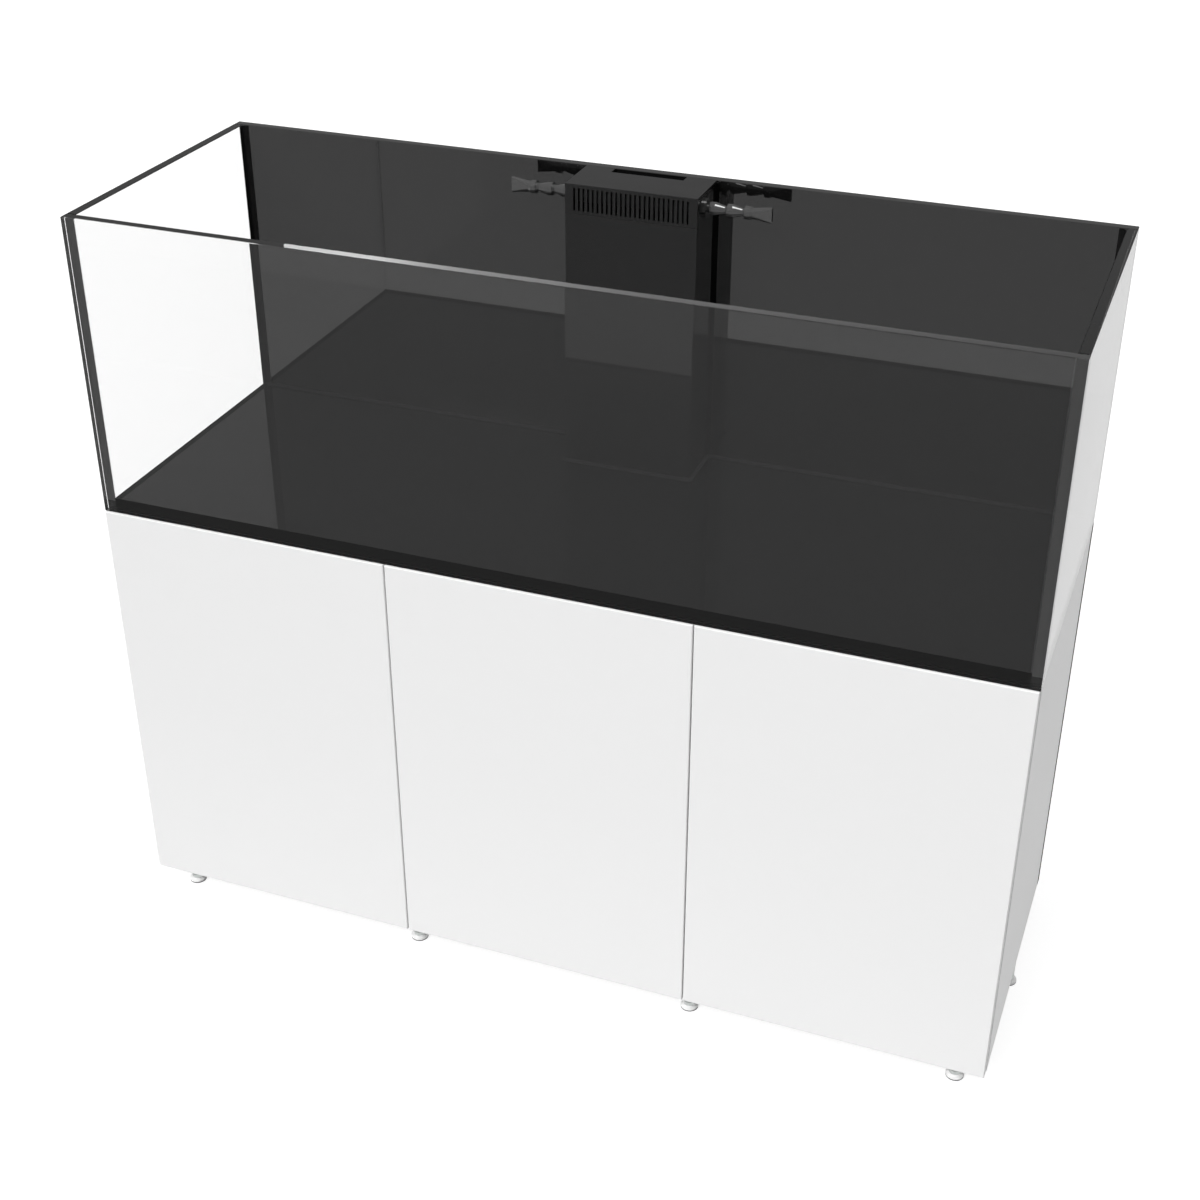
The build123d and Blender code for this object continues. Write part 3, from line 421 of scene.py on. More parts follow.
class AquariumSettings(bpy.types.PropertyGroup):
    """Sizes, colours and light levels that a user may change."""

    glass_tint: bpy.props.StringProperty(
        name="Glass tint", description="sRGB hex colour of the clear glass", default="#FFFFFF"
    )
    black_coat: bpy.props.StringProperty(
        name="Black coat", description="sRGB hex colour of the coated glass", default="#101010"
    )
    silicone: bpy.props.StringProperty(
        name="Silicone black", description="sRGB hex colour of the black silicone", default="#0C0C0C"
    )
    # Paler grey painted on the upward faces of the silicone round the base: painted light.
    bead: bpy.props.StringProperty(
        name="Bead grey", description="sRGB hex colour of the bead round the base", default="#242424"
    )
    pane_edge: bpy.props.StringProperty(
        name="Pane edge", description="sRGB hex colour of the ground edges in front", default="#696969"
    )
    black_acrylic: bpy.props.StringProperty(
        name="Overflow black", description="sRGB hex colour of the overflow plates", default="#1C1C1C"
    )
    lid_black: bpy.props.StringProperty(
        name="Lid black", description="sRGB hex colour of the overflow lid", default="#1A1A1A"
    )
    nozzle: bpy.props.StringProperty(
        name="Nozzle black", description="sRGB hex colour of the return nozzles", default="#383838"
    )
    pipe: bpy.props.StringProperty(
        name="Pipe grey", description="sRGB hex colour of the pipes", default="#3A3C3E"
    )
    lacquer: bpy.props.StringProperty(
        name="Lacquer", description="sRGB hex colour of the doors and sides", default="#EDEDED"
    )
    melamine: bpy.props.StringProperty(
        name="Melamine", description="sRGB hex colour of the boards inside", default="#E8E8E6"
    )
    thread_pitch: bpy.props.FloatProperty(
        name="Foot thread pitch", description="Thread pitch of the stems", default=2.5 * MM, unit="LENGTH"
    )
    screw_radius: bpy.props.FloatProperty(
        name="Screw radius", description="Head radius of the hinge screws", default=3.2 * MM, unit="LENGTH"
    )
    key_power: bpy.props.FloatProperty(
        name="Key light", description="Strength of the light from the front left", default=2.6
    )
    top_power: bpy.props.FloatProperty(
        name="Top light", description="Strength of the light from above", default=1.3
    )
    ambient: bpy.props.FloatProperty(
        name="Surrounding light", description="Strength of the even light from all sides", default=0.25
    )
    strip_power: bpy.props.FloatProperty(
        name="Strip light", description="Strength of the streak on the front pane's top edge", default=3.8
    )
    mirrored_room: bpy.props.FloatProperty(
        name="Room in reflections", description="Brightness of the mirrored room", default=0.28
    )
    mirrored_front: bpy.props.FloatProperty(
        name="Front floor in reflections", description="Brightness of the mirrored front floor", default=0.37
    )
    mirrored_back: bpy.props.FloatProperty(
        name="Back floor in reflections", description="Brightness of the mirrored back floor", default=0.9
    )


class AQUARIUM_OT_tank(bpy.types.Operator):
    """Dress the panes, the base and the seams"""

    bl_idname = "aquarium.tank"
    bl_label = "Tank"

    def execute(self, context):
        settings = context.scene.aquarium
        dress(["front_glass", "left_glass", "right_glass"], clear_glass(settings))
        dress(["back_glass"], black_glass("Enamelled black glass", settings, index=2.1))
        dress(["base_glass"], black_glass("Black glass", settings, index=1.5))
        black = silicone_sealant("Black silicone", settings.silicone, 0.5)
        joint = joint_silicone(settings)
        dress(["base_seam"], joint)
        ground = silicone_sealant("Silicone on ground glass", settings.pane_edge, 0.35)
        clear = silicone_sealant("Clear silicone", "#DCE0DE", 0.2, Alpha=0.05)
        self.corner_seams([ground, clear, black, joint])
        return {"FINISHED"}

    def corner_seams(self, materials):
        """Upright seams: clear silicone in front, which shows the ground pane edge, and black at the back."""
        ground, clear, black, joint = range(len(materials))
        near_inset, far_inset, base_gap = 0.15 * MM, 1.35 * MM, 0.05 * MM
        bead_start, front_leg, rear_leg = 6.0 * MM, 2.5 * MM, 13.0 * MM
        low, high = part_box("corner_seams")
        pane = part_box("right_glass")
        base_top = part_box("base_glass")[1].z
        front = (-1, low.y, (joint, ground, clear), front_leg)
        rear = (1, high.y, (black, black, black), rear_leg)
        seams = bmesh.new()
        for side in (-1, 1):
            inner, outer = side * pane[0].x, side * high.x
            for end, face, (foot_kind, bond_kind, bead_kind), leg in (front, rear):
                near, far = face - end * near_inset, face - end * far_inset
                bonds = ((low.z, base_top - base_gap, foot_kind), (base_top, high.z, bond_kind))
                for bottom, top, kind in bonds:
                    before = set(seams.faces)
                    start = (min(inner, outer), min(near, far), bottom)
                    plain_block(seams, start, (max(inner, outer), max(near, far), top))
                    paint_new(seams, before, kind)
                before = set(seams.faces)
                x = inner - side * near_inset
                start, stop = (x, near, base_top + bead_start), (x, near, high.z)
                tooled_bead(seams, start, stop, (-side, 0, 0), (0, -end, 0), leg)
                paint_new(seams, before, bead_kind)
        piece = finished_piece("corner_silicone", seams, materials, ROOT)
        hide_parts("corner_seams")


class AQUARIUM_OT_overflow(bpy.types.Operator):
    """Dress the overflow box and its lid"""

    bl_idname = "aquarium.overflow"
    bl_label = "Overflow box"

    def execute(self, context):
        settings = context.scene.aquarium
        dress(["overflow_plates"], cast_acrylic(settings))
        dress(["overflow_lid"], moulded_plastic("Black ABS lid", settings.lid_black, 0.3, 1.2, 0.1))
        return {"FINISHED"}


class AQUARIUM_OT_nozzles(bpy.types.Operator):
    """Dress the return fittings, hose segments and flare nozzles"""

    bl_idname = "aquarium.nozzles"
    bl_label = "Return nozzles"

    def execute(self, context):
        settings = context.scene.aquarium
        names = ["return_fittings"]
        for side in ("left_", "right_"):
            names += [side + piece for piece in ("hose_inner", "hose_outer", "flare_nozzle")]
        dress(names, moulded_plastic("Acetal hose", settings.nozzle, 0.16, 0.9, 0.01, index=2.2))
        return {"FINISHED"}


class AQUARIUM_OT_plumbing(bpy.types.Operator):
    """Dress the bulkheads, pipes and the gate valve"""

    bl_idname = "aquarium.plumbing"
    bl_label = "Plumbing"

    def execute(self, context):
        settings = context.scene.aquarium
        dress(["overflow_pipes", "drain_pipes", "return_pipes"], drawn_pipe(settings))
        fittings = moulded_plastic("PVC fittings", "#303234", 0.38, 1.0, 0.12)
        dress(["bulkheads", "bulkhead_nuts", "return_tee", "gate_valve_body", "gate_valve_gate"], fittings)
        dress(["bulkhead_gaskets"], moulded_plastic("Gasket rubber", "#1A1A1B", 0.6, 1.5, 0.2))
        dress(["gate_valve_wheel"], moulded_plastic("Red ABS wheel", "#B3231B", 0.35, 1.0, 0.15))
        self.valve_fittings(fittings, plated_steel("Stainless steel", "#A9AAAA", 0.28))
        return {"FINISHED"}

    def valve_fittings(self, moulded, steel):
        """Union nuts at both ends of the gate valve, and the bolts of its bonnet."""
        nut_section = ((23.5, 22.0), (27.5, 22.0), (28.5, 23.5), (28.5, 33.5), (27.5, 35.0), (23.5, 35.0))
        pipe_setback, bonnet_setback = 24.0 * MM, 10.0 * MM
        bolt_x, bolt_z, bolt_radius, bolt_height = 17.0 * MM, 9.0 * MM, 3.6 * MM, 2.6 * MM
        low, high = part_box("gate_valve_body")
        middle = ((low.x + high.x) / 2, high.y - pipe_setback, (low.z + high.z) / 2)
        nuts = bmesh.new()
        for end in (-1, 1):
            ring = in_mm([(radius, end * height) for radius, height in nut_section])
            spin_profile(nuts, ring, middle, steps=8, closed=True)
        finished_piece("valve_union_nuts", nuts, [moulded], ROOT)
        bolts = bmesh.new()
        for x in (-bolt_x, bolt_x):
            for z in (-bolt_z, bolt_z):
                place = (middle[0] + x, low.y + bonnet_setback, middle[2] + z)
                bolt_head(bolts, place, (0.0, -1.0, 0.0), bolt_radius, bolt_height)
        finished_piece("valve_bolts", bolts, [steel], ROOT)


class AQUARIUM_OT_sump(bpy.types.Operator):
    """Dress the sump and the return pump"""

    bl_idname = "aquarium.sump"
    bl_label = "Sump and pump"

    def execute(self, context):
        dress(["sump_panes", "sump_baffles"], sump_glass())
        dress(["pump_body", "pump_cover"], moulded_plastic("Black ABS pump", "#1D1E20", 0.45, 1.0, 0.2))
        dress(["pump_impeller"], moulded_plastic("Impeller nylon", "#5A5C60", 0.4, 1.0, 0.12))
        self.sump_seams()
        self.pump_details()
        return {"FINISHED"}

    def sump_seams(self):
        """Silicone beads along the inner corners of the sump and beside its baffles."""
        wall, bead_gap, top_gap = 8.0 * MM, 0.1 * MM, 6.0 * MM
        corner_leg, baffle_leg = 5.0 * MM, 4.0 * MM
        baffle_thick, baffle_pitch = 6.0 * MM, 31.0 * MM
        # Lower end above the floor, and height, of each baffle's beads.
        baffle_spans = ((0.0, 220.0 * MM), (40.0 * MM, 240.0 * MM), (0.0, 220.0 * MM))
        low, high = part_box("sump_panes")
        inset = Vector((wall, wall, 0.0))
        low, high = low + inset, high - inset
        floor, top = low.z + wall, high.z - top_gap
        corners = [
            (low.x, low.y, 1, 1),
            (high.x, low.y, -1, 1),
            (high.x, high.y, -1, -1),
            (low.x, high.y, 1, -1),
        ]
        seams = bmesh.new()
        for index, (x, y, to_x, to_y) in enumerate(corners):
            foot, head = (x, y, floor + bead_gap), (x, y, top)
            tooled_bead(seams, foot, head, (to_x, 0, 0), (0, to_y, 0), corner_leg)
            start = Vector((x, y, floor))
            end = Vector((*corners[(index + 1) % len(corners)][:2], floor))
            inward = (0, to_y, 0) if end.y == start.y else (to_x, 0, 0)
            short = (end - start).normalized() * bead_gap
            tooled_bead(seams, start + short, end - short, inward, (0, 0, 1), corner_leg)
        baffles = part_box("sump_baffles")[1]
        for index, (start, height) in enumerate(baffle_spans):
            right = baffles.x - index * baffle_pitch
            for x, to_x in ((right, 1), (right - baffle_thick, -1)):
                for y, to_y in ((low.y, 1), (high.y, -1)):
                    foot, head = (x, y, floor + start), (x, y, floor + start + height)
                    tooled_bead(seams, foot, head, (to_x, 0, 0), (0, to_y, 0), baffle_leg)
        silicone = silicone_sealant("Sump silicone", "#1C1C1C", 0.4)
        finished_piece("sump_seams", seams, [silicone], ROOT)

    def pump_details(self):
        """Cooling fins round the motor, and the screws of the intake cover."""
        fin_section = ((33.0, -1.6), (36.0, -1.2), (36.6, 0.0), (36.0, 1.2), (33.0, 1.6))
        fin_count, fin_start, fin_pitch = 6, 6.0, 7.5
        screw_circle, screw_radius, screw_height = 32.5 * MM, 3.0 * MM, 1.8 * MM
        axis_depth, axis_height = 40.0 * MM, 58.0 * MM
        low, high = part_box("pump_body")
        axis = (0.0, low.y + axis_depth, low.z + axis_height)
        fins = bmesh.new()
        for index in range(fin_count):
            x = high.x - (fin_start + fin_pitch * index) * MM
            rim = [(radius * MM, x + step * MM) for radius, step in fin_section]
            spin_profile(fins, rim, axis, axis="X", closed=True)
        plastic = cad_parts["pump_body"].data.materials[0]
        finished_piece("pump_fins", fins, [plastic], ROOT)
        screws = bmesh.new()
        for quarter in range(4):
            angle = math.radians(45 + 90 * quarter)
            y = axis[1] + screw_circle * math.cos(angle)
            z = axis[2] + screw_circle * math.sin(angle)
            screw_head(screws, (low.x, y, z), (-1.0, 0.0, 0.0), screw_radius, screw_height)
        steel = plated_steel("Pump screw steel", "#A9AAAA", 0.3)
        finished_piece("pump_screws", screws, [steel], ROOT)


class AQUARIUM_OT_cabinet(bpy.types.Operator):
    """Dress the panels and the doors of the stand"""

    bl_idname = "aquarium.cabinet"
    bl_label = "Cabinet"

    def execute(self, context):
        settings = context.scene.aquarium
        dress(["left_side", "right_side"] + [name + "_door" for name in DOORS], white_lacquer(settings))
        boards = ["top_board", "bottom_board", "dividers", "back_panel", "top_rails"]
        dress(boards, white_melamine(settings))
        self.rear_painted_shade()
        self.painted_joint_shade()
        self.grommets()
        return {"FINISHED"}

    def rear_painted_shade(self):
        """Dark strips at the rear edges of both sides of the stand: painted shade along those edges."""
        half_thick, depth, arris = 0.2 * MM, 22.0 * MM, 0.1 * MM
        low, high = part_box("back_panel")
        edges = bmesh.new()
        for x in (low.x, high.x):
            start = (x - half_thick, high.y - depth, low.z)
            rounded_block(edges, start, (x + half_thick, high.y, high.z), arris, segments=1)
        finished_piece("rear_edge_painted_shade", edges, [painted_shade_fibre()], ROOT)

    def painted_joint_shade(self):
        """Thin dark strips under the side panes, in the groove along the joint: painted shade, not a part of
        the stand.
        """
        outer_inset, inner_inset, front_inset = 0.2 * MM, 1.6 * MM, 1.0 * MM
        thick, top_gap, arris = 0.6 * MM, 0.02 * MM, 0.1 * MM
        low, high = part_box("right_side")
        strips = bmesh.new()
        for side in (-1, 1):
            left, right = sorted((side * (high.x - inner_inset), side * (high.x - outer_inset)))
            start = (left, low.y + front_inset, high.z - thick)
            rounded_block(strips, start, (right, high.y, high.z - top_gap), arris, segments=1)
        # Dark grey for the strips: painted shade in the joint between tank and stand.
        joint_shade_black = moulded_plastic("Black foam", "#303030", 0.9, 1.0, 0.3)
        finished_piece("painted_joint_shade", strips, [joint_shade_black], ROOT)

    def grommets(self):
        """Plastic rings that line the pipe and cable holes of the dividers."""
        # Radius, and distance from the middle of the board, on one side of the ring.
        half_section = ((26.5, 10.5), (33.0, 10.5), (34.0, 9.8), (34.0, 9.05), (29.9, 9.05))
        half_board, from_back, from_top = 9.0 * MM, 70.0 * MM, 90.0 * MM
        low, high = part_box("dividers")
        rings = bmesh.new()
        section = [(radius, -step) for radius, step in half_section] + list(reversed(half_section))
        for x in (low.x + half_board, high.x - half_board):
            centre = (x, high.y - from_back, high.z - from_top)
            spin_profile(rings, in_mm(section), centre, axis="X", closed=True)
        grey = moulded_plastic("Grey ABS grommet", "#8E9090", 0.4, 1.0, 0.12)
        finished_piece("divider_grommets", rings, [grey], ROOT)


class AQUARIUM_OT_hinges(bpy.types.Operator):
    """Dress the hinges and latches, and add the screws that hold them"""

    bl_idname = "aquarium.hinges"
    bl_label = "Hinges and latches"

    # From the end of a door's pair of hinge cups to the middle of the cup.
    cup_inset = 28.0 * MM

    def execute(self, context):
        settings = context.scene.aquarium
        nickel = plated_steel("Nickel plate", "#B9B7B2", 0.3)
        dress(["hinge_arms"] + [name + "_hinge_cups" for name in DOORS], nickel)
        plungers = [name + "_latch_plunger" for name in DOORS]
        acetal = moulded_plastic("Grey acetal latch", "#BFC0C0", 0.4, 1.0, 0.12)
        dress(["latch_bodies"] + plungers, acetal)
        self.arm_covers(nickel, settings.screw_radius)
        self.door_fittings(nickel, settings.screw_radius)
        self.latch_screws(nickel)
        return {"FINISHED"}

    def arm_covers(self, nickel, radius):
        """Pressed covers over the hinge arms, with their adjusting screws, and the screws of the plates."""
        side_face, middle_face, thick = 7.5 * MM, 3.5 * MM, 4.0 * MM
        cover_front, cover_back, half_height, cover_round = 9.0 * MM, 45.0 * MM, 5.2 * MM, 1.4 * MM
        adjusters, adjuster_radius, adjuster_height = (17.0 * MM, 36.0 * MM), 2.6 * MM, 0.8 * MM
        plate_screw_y, plate_screw_z, plate_screw_height = 27.0 * MM, 8.4 * MM, 1.6 * MM
        covers = bmesh.new()
        screws = bmesh.new()
        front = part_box("latch_bodies")[0].y
        for name in DOORS:
            low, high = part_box(name + "_hinge_cups")
            inward = -1 if name == "right" else 1
            face = (low.x + high.x) / 2 + inward * (middle_face if name == "middle" else side_face)
            top = face + inward * thick
            for z in (low.z + self.cup_inset, high.z - self.cup_inset):
                start = (min(face, top), front + cover_front, z - half_height)
                end = (max(face, top), front + cover_back, z + half_height)
                rounded_block(covers, start, end, cover_round)
                for step in adjusters:
                    place = (top, front + step, z)
                    screw_head(screws, place, (inward, 0, 0), adjuster_radius, adjuster_height)
                for step in (-plate_screw_z, plate_screw_z):
                    place = (face, front + plate_screw_y, z + step)
                    screw_head(screws, place, (inward, 0, 0), radius, plate_screw_height)
        finished_piece("hinge_arm_covers", covers, [nickel], ROOT)
        finished_piece("hinge_plate_screws", screws, [nickel], ROOT)

    def door_fittings(self, nickel, radius):
        """Screws of the hinge cups and clear bumpers near the free edge, on each door."""
        screw_step, screw_height = 22.75 * MM, 1.1 * MM
        dome = in_mm(((0.0, 0.0), (4.5, 0.0), (4.5, 1.1), (4.1, 1.7), (3.0, 2.2), (1.5, 2.4), (0.0, 2.45)))
        edge_inset, bottom_inset, top_inset = 7.5 * MM, 30.0 * MM, 36.0 * MM
        clear = silicone_sealant("Clear polyurethane", "#F2F4F3", 0.2, Transmission_Weight=1.0)
        for name in DOORS:
            body = name + "_door"
            low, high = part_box(name + "_hinge_cups")
            screws = bmesh.new()
            for z in (low.z + self.cup_inset, high.z - self.cup_inset):
                for step in (-screw_step, screw_step):
                    place = ((low.x + high.x) / 2, high.y, z + step)
                    screw_head(screws, place, (0.0, 1.0, 0.0), radius, screw_height)
            finished_piece(name + "_cup_screws", screws, [nickel], body)
            low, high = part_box(body)
            x = low.x + edge_inset if name == "right" else high.x - edge_inset
            bumpers = bmesh.new()
            for z in (low.z + bottom_inset, high.z - top_inset):
                spin_profile(bumpers, dome, (x, high.y, z), axis="Y", steps=24)
            finished_piece(name + "_bumpers", bumpers, [clear], body)

    def latch_screws(self, nickel):
        """Two screws that hold each latch under its rail."""
        middle_latch_x, side_inset = 255.0 * MM, 8.0 * MM
        front_inset, back_inset = 14.0 * MM, 8.0 * MM
        screw_radius, screw_height = 3.0 * MM, 1.5 * MM
        low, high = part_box("latch_bodies")
        screws = bmesh.new()
        for x in (low.x + side_inset, high.x - side_inset, middle_latch_x):
            for y in (low.y + front_inset, high.y - back_inset):
                screw_head(screws, (x, y, low.z), (0.0, 0.0, -1.0), screw_radius, screw_height)
        finished_piece("latch_screws", screws, [nickel], ROOT)


class AQUARIUM_OT_feet(bpy.types.Operator):
    """Build the levelling feet: white pad on a rubber ring, with a collar and a threaded stem"""

    bl_idname = "aquarium.feet"
    bl_label = "Levelling feet"

    # Inset from the rim and height of the rubber ring and of the pad above it, in millimetres.
    ring_rim = ((0.9, 0.0), (0.1, 0.6), (0.1, 2.4))
    pad_rim = ((0.3, 2.45), (0.0, 2.7), (0.0, 4.8), (0.4, 5.6), (1.2, 6.0))
    # Radius and height of the pad's cone and of the collar, in millimetres.
    pad_cone = ((12.6, 8.9), (12.2, 9.8))
    collar = ((0.0, 9.85), (11.4, 9.85), (12.0, 10.5), (12.0, 18.0), (11.3, 18.6))

    def execute(self, context):
        settings = context.scene.aquarium
        white = moulded_plastic("White polyethylene", "#FDFDFD", 0.35, 1.2, 0.1)
        rubber = moulded_plastic("Foot rubber", "#141414", 0.9, 1.5, 0.2, index=1.1)
        zinc = plated_steel("Zinc plate", "#D2D6D4", 0.35)
        dress(["foot_sockets"], plated_steel("Turned brass", "#B79A5B", 0.3))
        for name in FEET:
            low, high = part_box(name)
            centre = ((low.x + high.x) / 2, (low.y + high.y) / 2, 0.0)
            self.pad(name, centre, (high.x - low.x) / 2, [white, rubber])
            self.stem(name, centre, high.z, settings.thread_pitch, zinc)
        return {"FINISHED"}

    def pad(self, name, centre, radius, materials):
        """White pad on its rubber ring."""
        white, rubber = range(len(materials))
        pad = bmesh.new()
        ring = [(radius - inset * MM, height * MM) for inset, height in self.ring_rim]
        spin_profile(pad, [(0.0, 0.0), *ring, (0.0, ring[-1][1])], centre, material=rubber)
        body = [(radius - inset * MM, height * MM) for inset, height in self.pad_rim]
        body += in_mm(self.pad_cone)
        spin_profile(pad, [(0.0, body[0][1]), *body, (0.0, body[-1][1])], centre, material=white)
        piece = finished_piece(name + "_pad", pad, materials, name)
        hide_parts(name)

    def stem(self, name, centre, top, pitch, zinc):
        """Collar and threaded stem, up to the pin that turns in the socket."""
        crest, root, pin, pin_end = 12.0 * MM, 11.3 * MM, 4.9 * MM, 4.2 * MM
        pin_length, pin_arris, thread_start, thread_ends = 14.3 * MM, 0.5 * MM, 19.2 * MM, 20.0 * MM
        seat = top - pin_length
        profile = in_mm(self.collar)
        for index in range(int((seat - thread_ends) / pitch)):
            level = thread_start + index * pitch
            profile += [(root, level), (crest, level + 0.4 * pitch), (crest, level + 0.6 * pitch)]
        profile += [(root, seat), (pin, seat), (pin, top - pin_arris), (pin_end, top), (0.0, top)]
        stem = bmesh.new()
        spin_profile(stem, profile, centre, steps=32)
        finished_piece(name + "_stem", stem, [zinc], name)


class AQUARIUM_OT_stage(bpy.types.Operator):
    """Set the floor, the surroundings, the light and the camera"""

    bl_idname = "aquarium.stage"
    bl_label = "Stage"

    def execute(self, context):
        settings = context.scene.aquarium
        self.floor(settings)
        self.surroundings(settings)
        self.lamps(settings)
        self.strip_light(settings)
        self.camera()
        context.scene.view_settings.view_transform = "Standard"
        return {"FINISHED"}

    def ray_kinds(self, tree):
        """Sockets that tell rays which see the stage, straight or through glass, and rays that mirror it."""
        ray = add(tree, "ShaderNodeLightPath").outputs
        through = {0: ray["Is Camera Ray"], 1: ray["Is Transmission Ray"]}
        glass = add(tree, "ShaderNodeMath", through, operation="MAXIMUM").outputs[0]
        scattered = {0: ray["Diffuse Depth"], 1: 0.5}
        bare = add(tree, "ShaderNodeMath", scattered, operation="LESS_THAN").outputs[0]
        seen = add(tree, "ShaderNodeMath", {0: glass, 1: bare}, operation="MULTIPLY")
        bounced = {0: ray["Glossy Depth"], 1: 0.5}
        gloss = add(tree, "ShaderNodeMath", bounced, operation="GREATER_THAN").outputs[0]
        mirrored = add(tree, "ShaderNodeMath", {0: gloss, 1: bare}, operation="MULTIPLY")
        return seen.outputs[0], mirrored.outputs[0]

    def floor(self, settings):
        """Pale floor that is white to the camera, with a brightness of its own in reflections."""
        half_size, glow = 14.0, 0.8
        sweep_start, sweep_end = -1.0, -0.3
        material = bpy.data.materials.new("Pale studio floor")
        tree = bare_tree(material)
        seen, mirrored = self.ray_kinds(tree)
        paint = add(tree, "ShaderNodeBsdfDiffuse", {"Color": linear("#ADADAD")}).outputs[0]
        shaded = add(tree, "ShaderNodeBsdfDiffuse", {"Color": linear("#9F9F9F")}).outputs[0]
        lit = add(tree, "ShaderNodeEmission", {"Color": linear(WHITE), "Strength": glow}).outputs[0]
        white = add(tree, "ShaderNodeAddShader", {0: shaded, 1: lit}).outputs[0]
        place = add(tree, "ShaderNodeTexCoord").outputs["Object"]
        parts = add(tree, "ShaderNodeSeparateXYZ", {"Vector": place})
        # The bright floor behind only shows at the first mirroring.
        bounces = add(tree, "ShaderNodeLightPath").outputs["Glossy Depth"]
        once = {"Value": bounces, "From Min": 1.0, "From Max": 2.0}
        levels = {"To Min": settings.mirrored_back, "To Max": settings.mirrored_front}
        back = add(tree, "ShaderNodeMapRange", {**once, **levels}).outputs["Result"]
        across = {"Value": parts.outputs["Y"], "From Min": sweep_start, "From Max": sweep_end}
        levels = {"To Min": settings.mirrored_front, "To Max": back}
        strength = add(tree, "ShaderNodeMapRange", {**across, **levels}).outputs["Result"]
        image = add(tree, "ShaderNodeEmission", {"Color": linear(WHITE), "Strength": strength}).outputs[0]
        direct = add(tree, "ShaderNodeMixShader", {0: seen, 1: paint, 2: white}).outputs[0]
        surface = add(tree, "ShaderNodeMixShader", {0: mirrored, 1: direct, 2: image}).outputs[0]
        add(tree, "ShaderNodeOutputMaterial", {"Surface": surface})
        shape = bmesh.new()
        bmesh.ops.create_grid(shape, x_segments=1, y_segments=1, size=half_size)
        floor = linked_object("floor", shape, [material])

    def surroundings(self, settings):
        """Even light from all sides, white to the camera and darker in reflections."""
        world = bpy.data.worlds.new("Studio")
        bpy.context.scene.world = world
        tree = bare_tree(world)
        seen, mirrored = self.ray_kinds(tree)
        even, white, image = (
            add(tree, "ShaderNodeBackground", {"Color": linear(WHITE), "Strength": strength}).outputs[0]
            for strength in (settings.ambient, 1.0, settings.mirrored_room)
        )
        direct = add(tree, "ShaderNodeMixShader", {0: seen, 1: even, 2: white}).outputs[0]
        surface = add(tree, "ShaderNodeMixShader", {0: mirrored, 1: direct, 2: image}).outputs[0]
        add(tree, "ShaderNodeOutputWorld", {"Surface": surface})

    def lamps(self, settings):
        """Two wide suns; only the one above shows in reflections."""
        spread = math.radians(30)
        for name, power, towards, mirrored in (
            ("key", settings.key_power, (-0.35, -0.75, 0.6), False),
            ("top", settings.top_power, (0.1, -0.1, 1.0), True),
        ):
            lamp = bpy.data.lights.new(name, "SUN")
            lamp.energy = power
            lamp.angle = spread
            light = bpy.data.objects.new(name, lamp)
            bpy.context.scene.collection.objects.link(light)
            light.rotation_mode = "QUATERNION"
            light.rotation_quaternion = Vector(towards).to_track_quat("Z", "Y")
            light.visible_glossy = mirrored
            light.visible_transmission = False

    def strip_light(self, settings):
        """Long strip light behind the tank that only shows as a streak on the polished top edge in front."""
        size, middle = Vector((3.17, 1.0, 0.096)), Vector((-0.835, 3.0, 2.932))
        ends = {"From Min": middle.x - size.x / 2, "From Max": middle.x + size.x / 2}
        first_level, last_level = 0.95, 0.15
        levels = ((0.12, 1.0), (0.18, 0.63), (0.25, 0.43), (0.44, 0.28), (0.62, 0.21))
        material = bpy.data.materials.new("Strip light")
        tree = bare_tree(material)
        mirrored = self.ray_kinds(tree)[1]
        place = add(tree, "ShaderNodeTexCoord").outputs["Object"]
        parts = add(tree, "ShaderNodeSeparateXYZ", {"Vector": place})
        along = add(tree, "ShaderNodeMapRange", {"Value": parts.outputs["X"], **ends})
        fade = add(tree, "ShaderNodeValToRGB", {"Fac": along.outputs["Result"]})
        stops = fade.color_ramp.elements
        stops[0].color = (first_level, first_level, first_level, 1.0)
        stops[1].color = (last_level, last_level, last_level, 1.0)
        for position, level in levels:
            stops.new(position).color = (level, level, level, 1.0)
        bare = add(tree, "ShaderNodeBsdfTransparent").outputs[0]
        sockets = {"Color": fade.outputs["Color"], "Strength": settings.strip_power}
        glow = add(tree, "ShaderNodeEmission", sockets).outputs[0]
        surface = add(tree, "ShaderNodeMixShader", {0: mirrored, 1: bare, 2: glow}).outputs[0]
        add(tree, "ShaderNodeOutputMaterial", {"Surface": surface})
        shape = bmesh.new()
        panel = bmesh.ops.create_grid(shape, x_segments=1, y_segments=1, size=0.5)["verts"]
        upright = Matrix.Rotation(math.radians(90), 3, "X")
        bmesh.ops.rotate(shape, verts=panel, cent=(0.0, 0.0, 0.0), matrix=upright)
        bmesh.ops.scale(shape, verts=panel, vec=size)
        bmesh.ops.translate(shape, verts=panel, vec=middle)
        strip = linked_object("strip light", shape, [material])

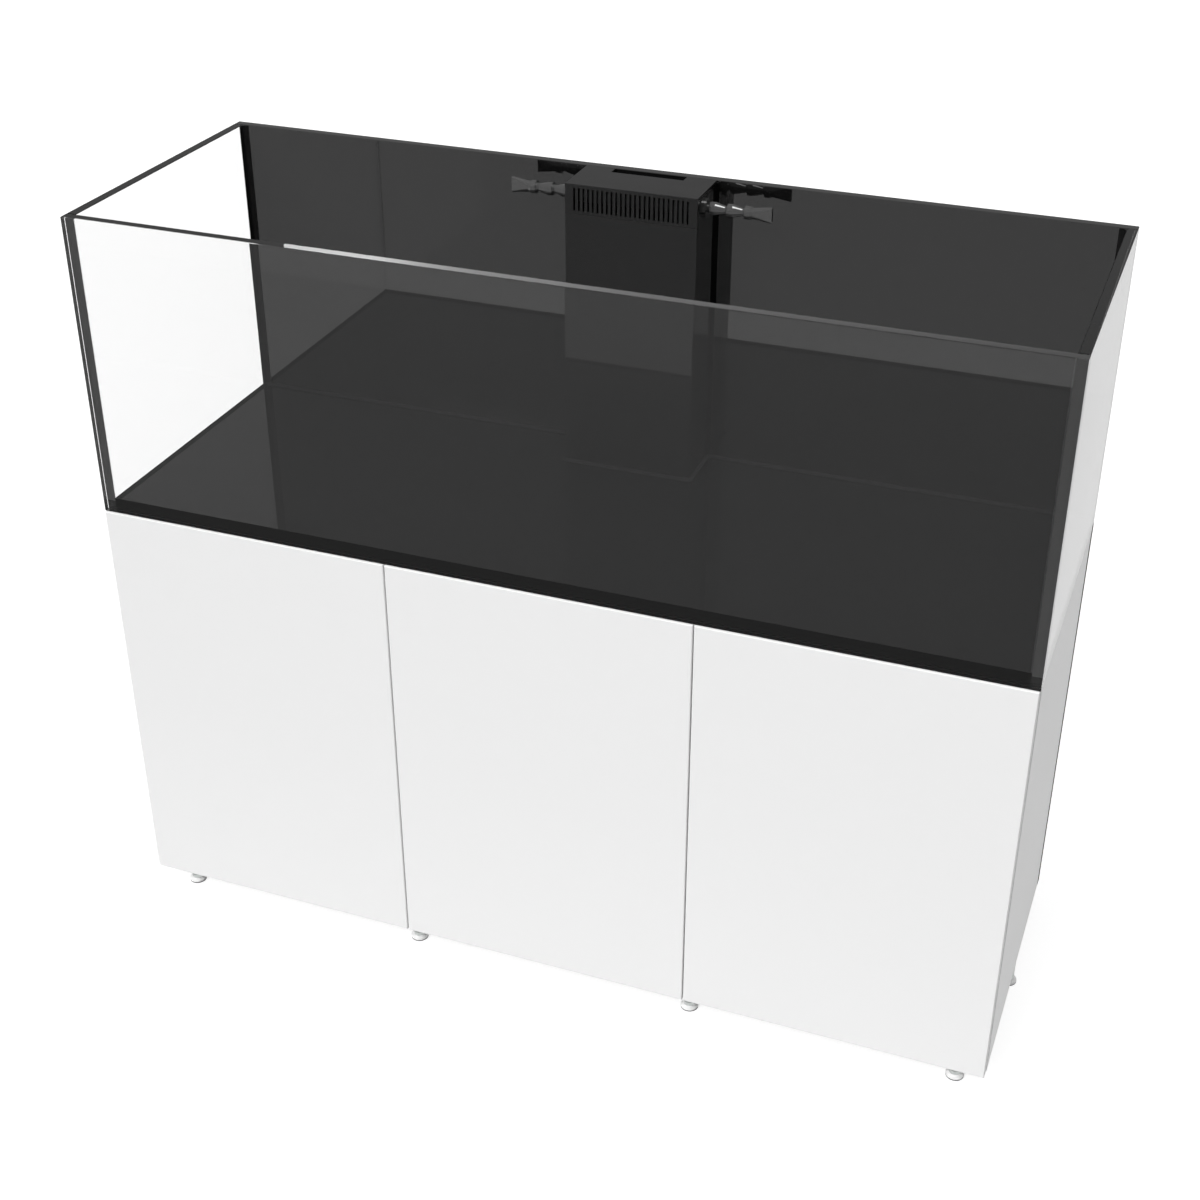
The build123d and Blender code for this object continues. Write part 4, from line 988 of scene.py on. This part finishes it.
    def camera(self):
        """Camera that was fitted to the photograph; its focal length is in pixels of the photograph."""
        sensor, focal_pixels, photo_pixels = 36.0, 1856.9, 1200.0
        aim = Vector((-0.30329, 0.80389, -0.51164))
        lens = bpy.data.cameras.new("photo view")
        lens.sensor_width = sensor
        lens.lens = sensor * focal_pixels / photo_pixels
        lens.clip_end = 100.0
        camera = bpy.data.objects.new("photo view", lens)
        bpy.context.scene.collection.objects.link(camera)
        camera.location = (1.1205, -2.9495, 2.6223)
        camera.rotation_mode = "QUATERNION"
        camera.rotation_quaternion = aim.to_track_quat("-Z", "Y")
        bpy.context.scene.camera = camera


class AQUARIUM_PT_sidebar(bpy.types.Panel):
    """Settings, and a button for each group of pieces"""

    bl_idname = "AQUARIUM_PT_sidebar"
    bl_label = "Aquarium on stand"
    bl_space_type = "VIEW_3D"
    bl_region_type = "UI"
    bl_category = "Aquarium"

    def draw(self, context):
        for name in AquariumSettings.__annotations__:
            self.layout.prop(context.scene.aquarium, name)
        for operator in OPERATORS:
            self.layout.operator(operator.bl_idname)


OPERATORS = (
    AQUARIUM_OT_tank,
    AQUARIUM_OT_overflow,
    AQUARIUM_OT_nozzles,
    AQUARIUM_OT_plumbing,
    AQUARIUM_OT_sump,
    AQUARIUM_OT_cabinet,
    AQUARIUM_OT_hinges,
    AQUARIUM_OT_feet,
    AQUARIUM_OT_stage,
)
CLASSES = (AquariumSettings, *OPERATORS, AQUARIUM_PT_sidebar)


def register():
    for item in CLASSES:
        bpy.utils.register_class(item)
    bpy.types.Scene.aquarium = bpy.props.PointerProperty(type=AquariumSettings)


def unregister():
    del bpy.types.Scene.aquarium
    for item in reversed(CLASSES):
        bpy.utils.unregister_class(item)


def main():
    register()
    bpy.ops.aquarium.tank()
    bpy.ops.aquarium.overflow()
    bpy.ops.aquarium.nozzles()
    bpy.ops.aquarium.plumbing()
    bpy.ops.aquarium.sump()
    bpy.ops.aquarium.cabinet()
    bpy.ops.aquarium.hinges()
    bpy.ops.aquarium.feet()
    bpy.ops.aquarium.stage()


if __name__ == "__main__":
    main()
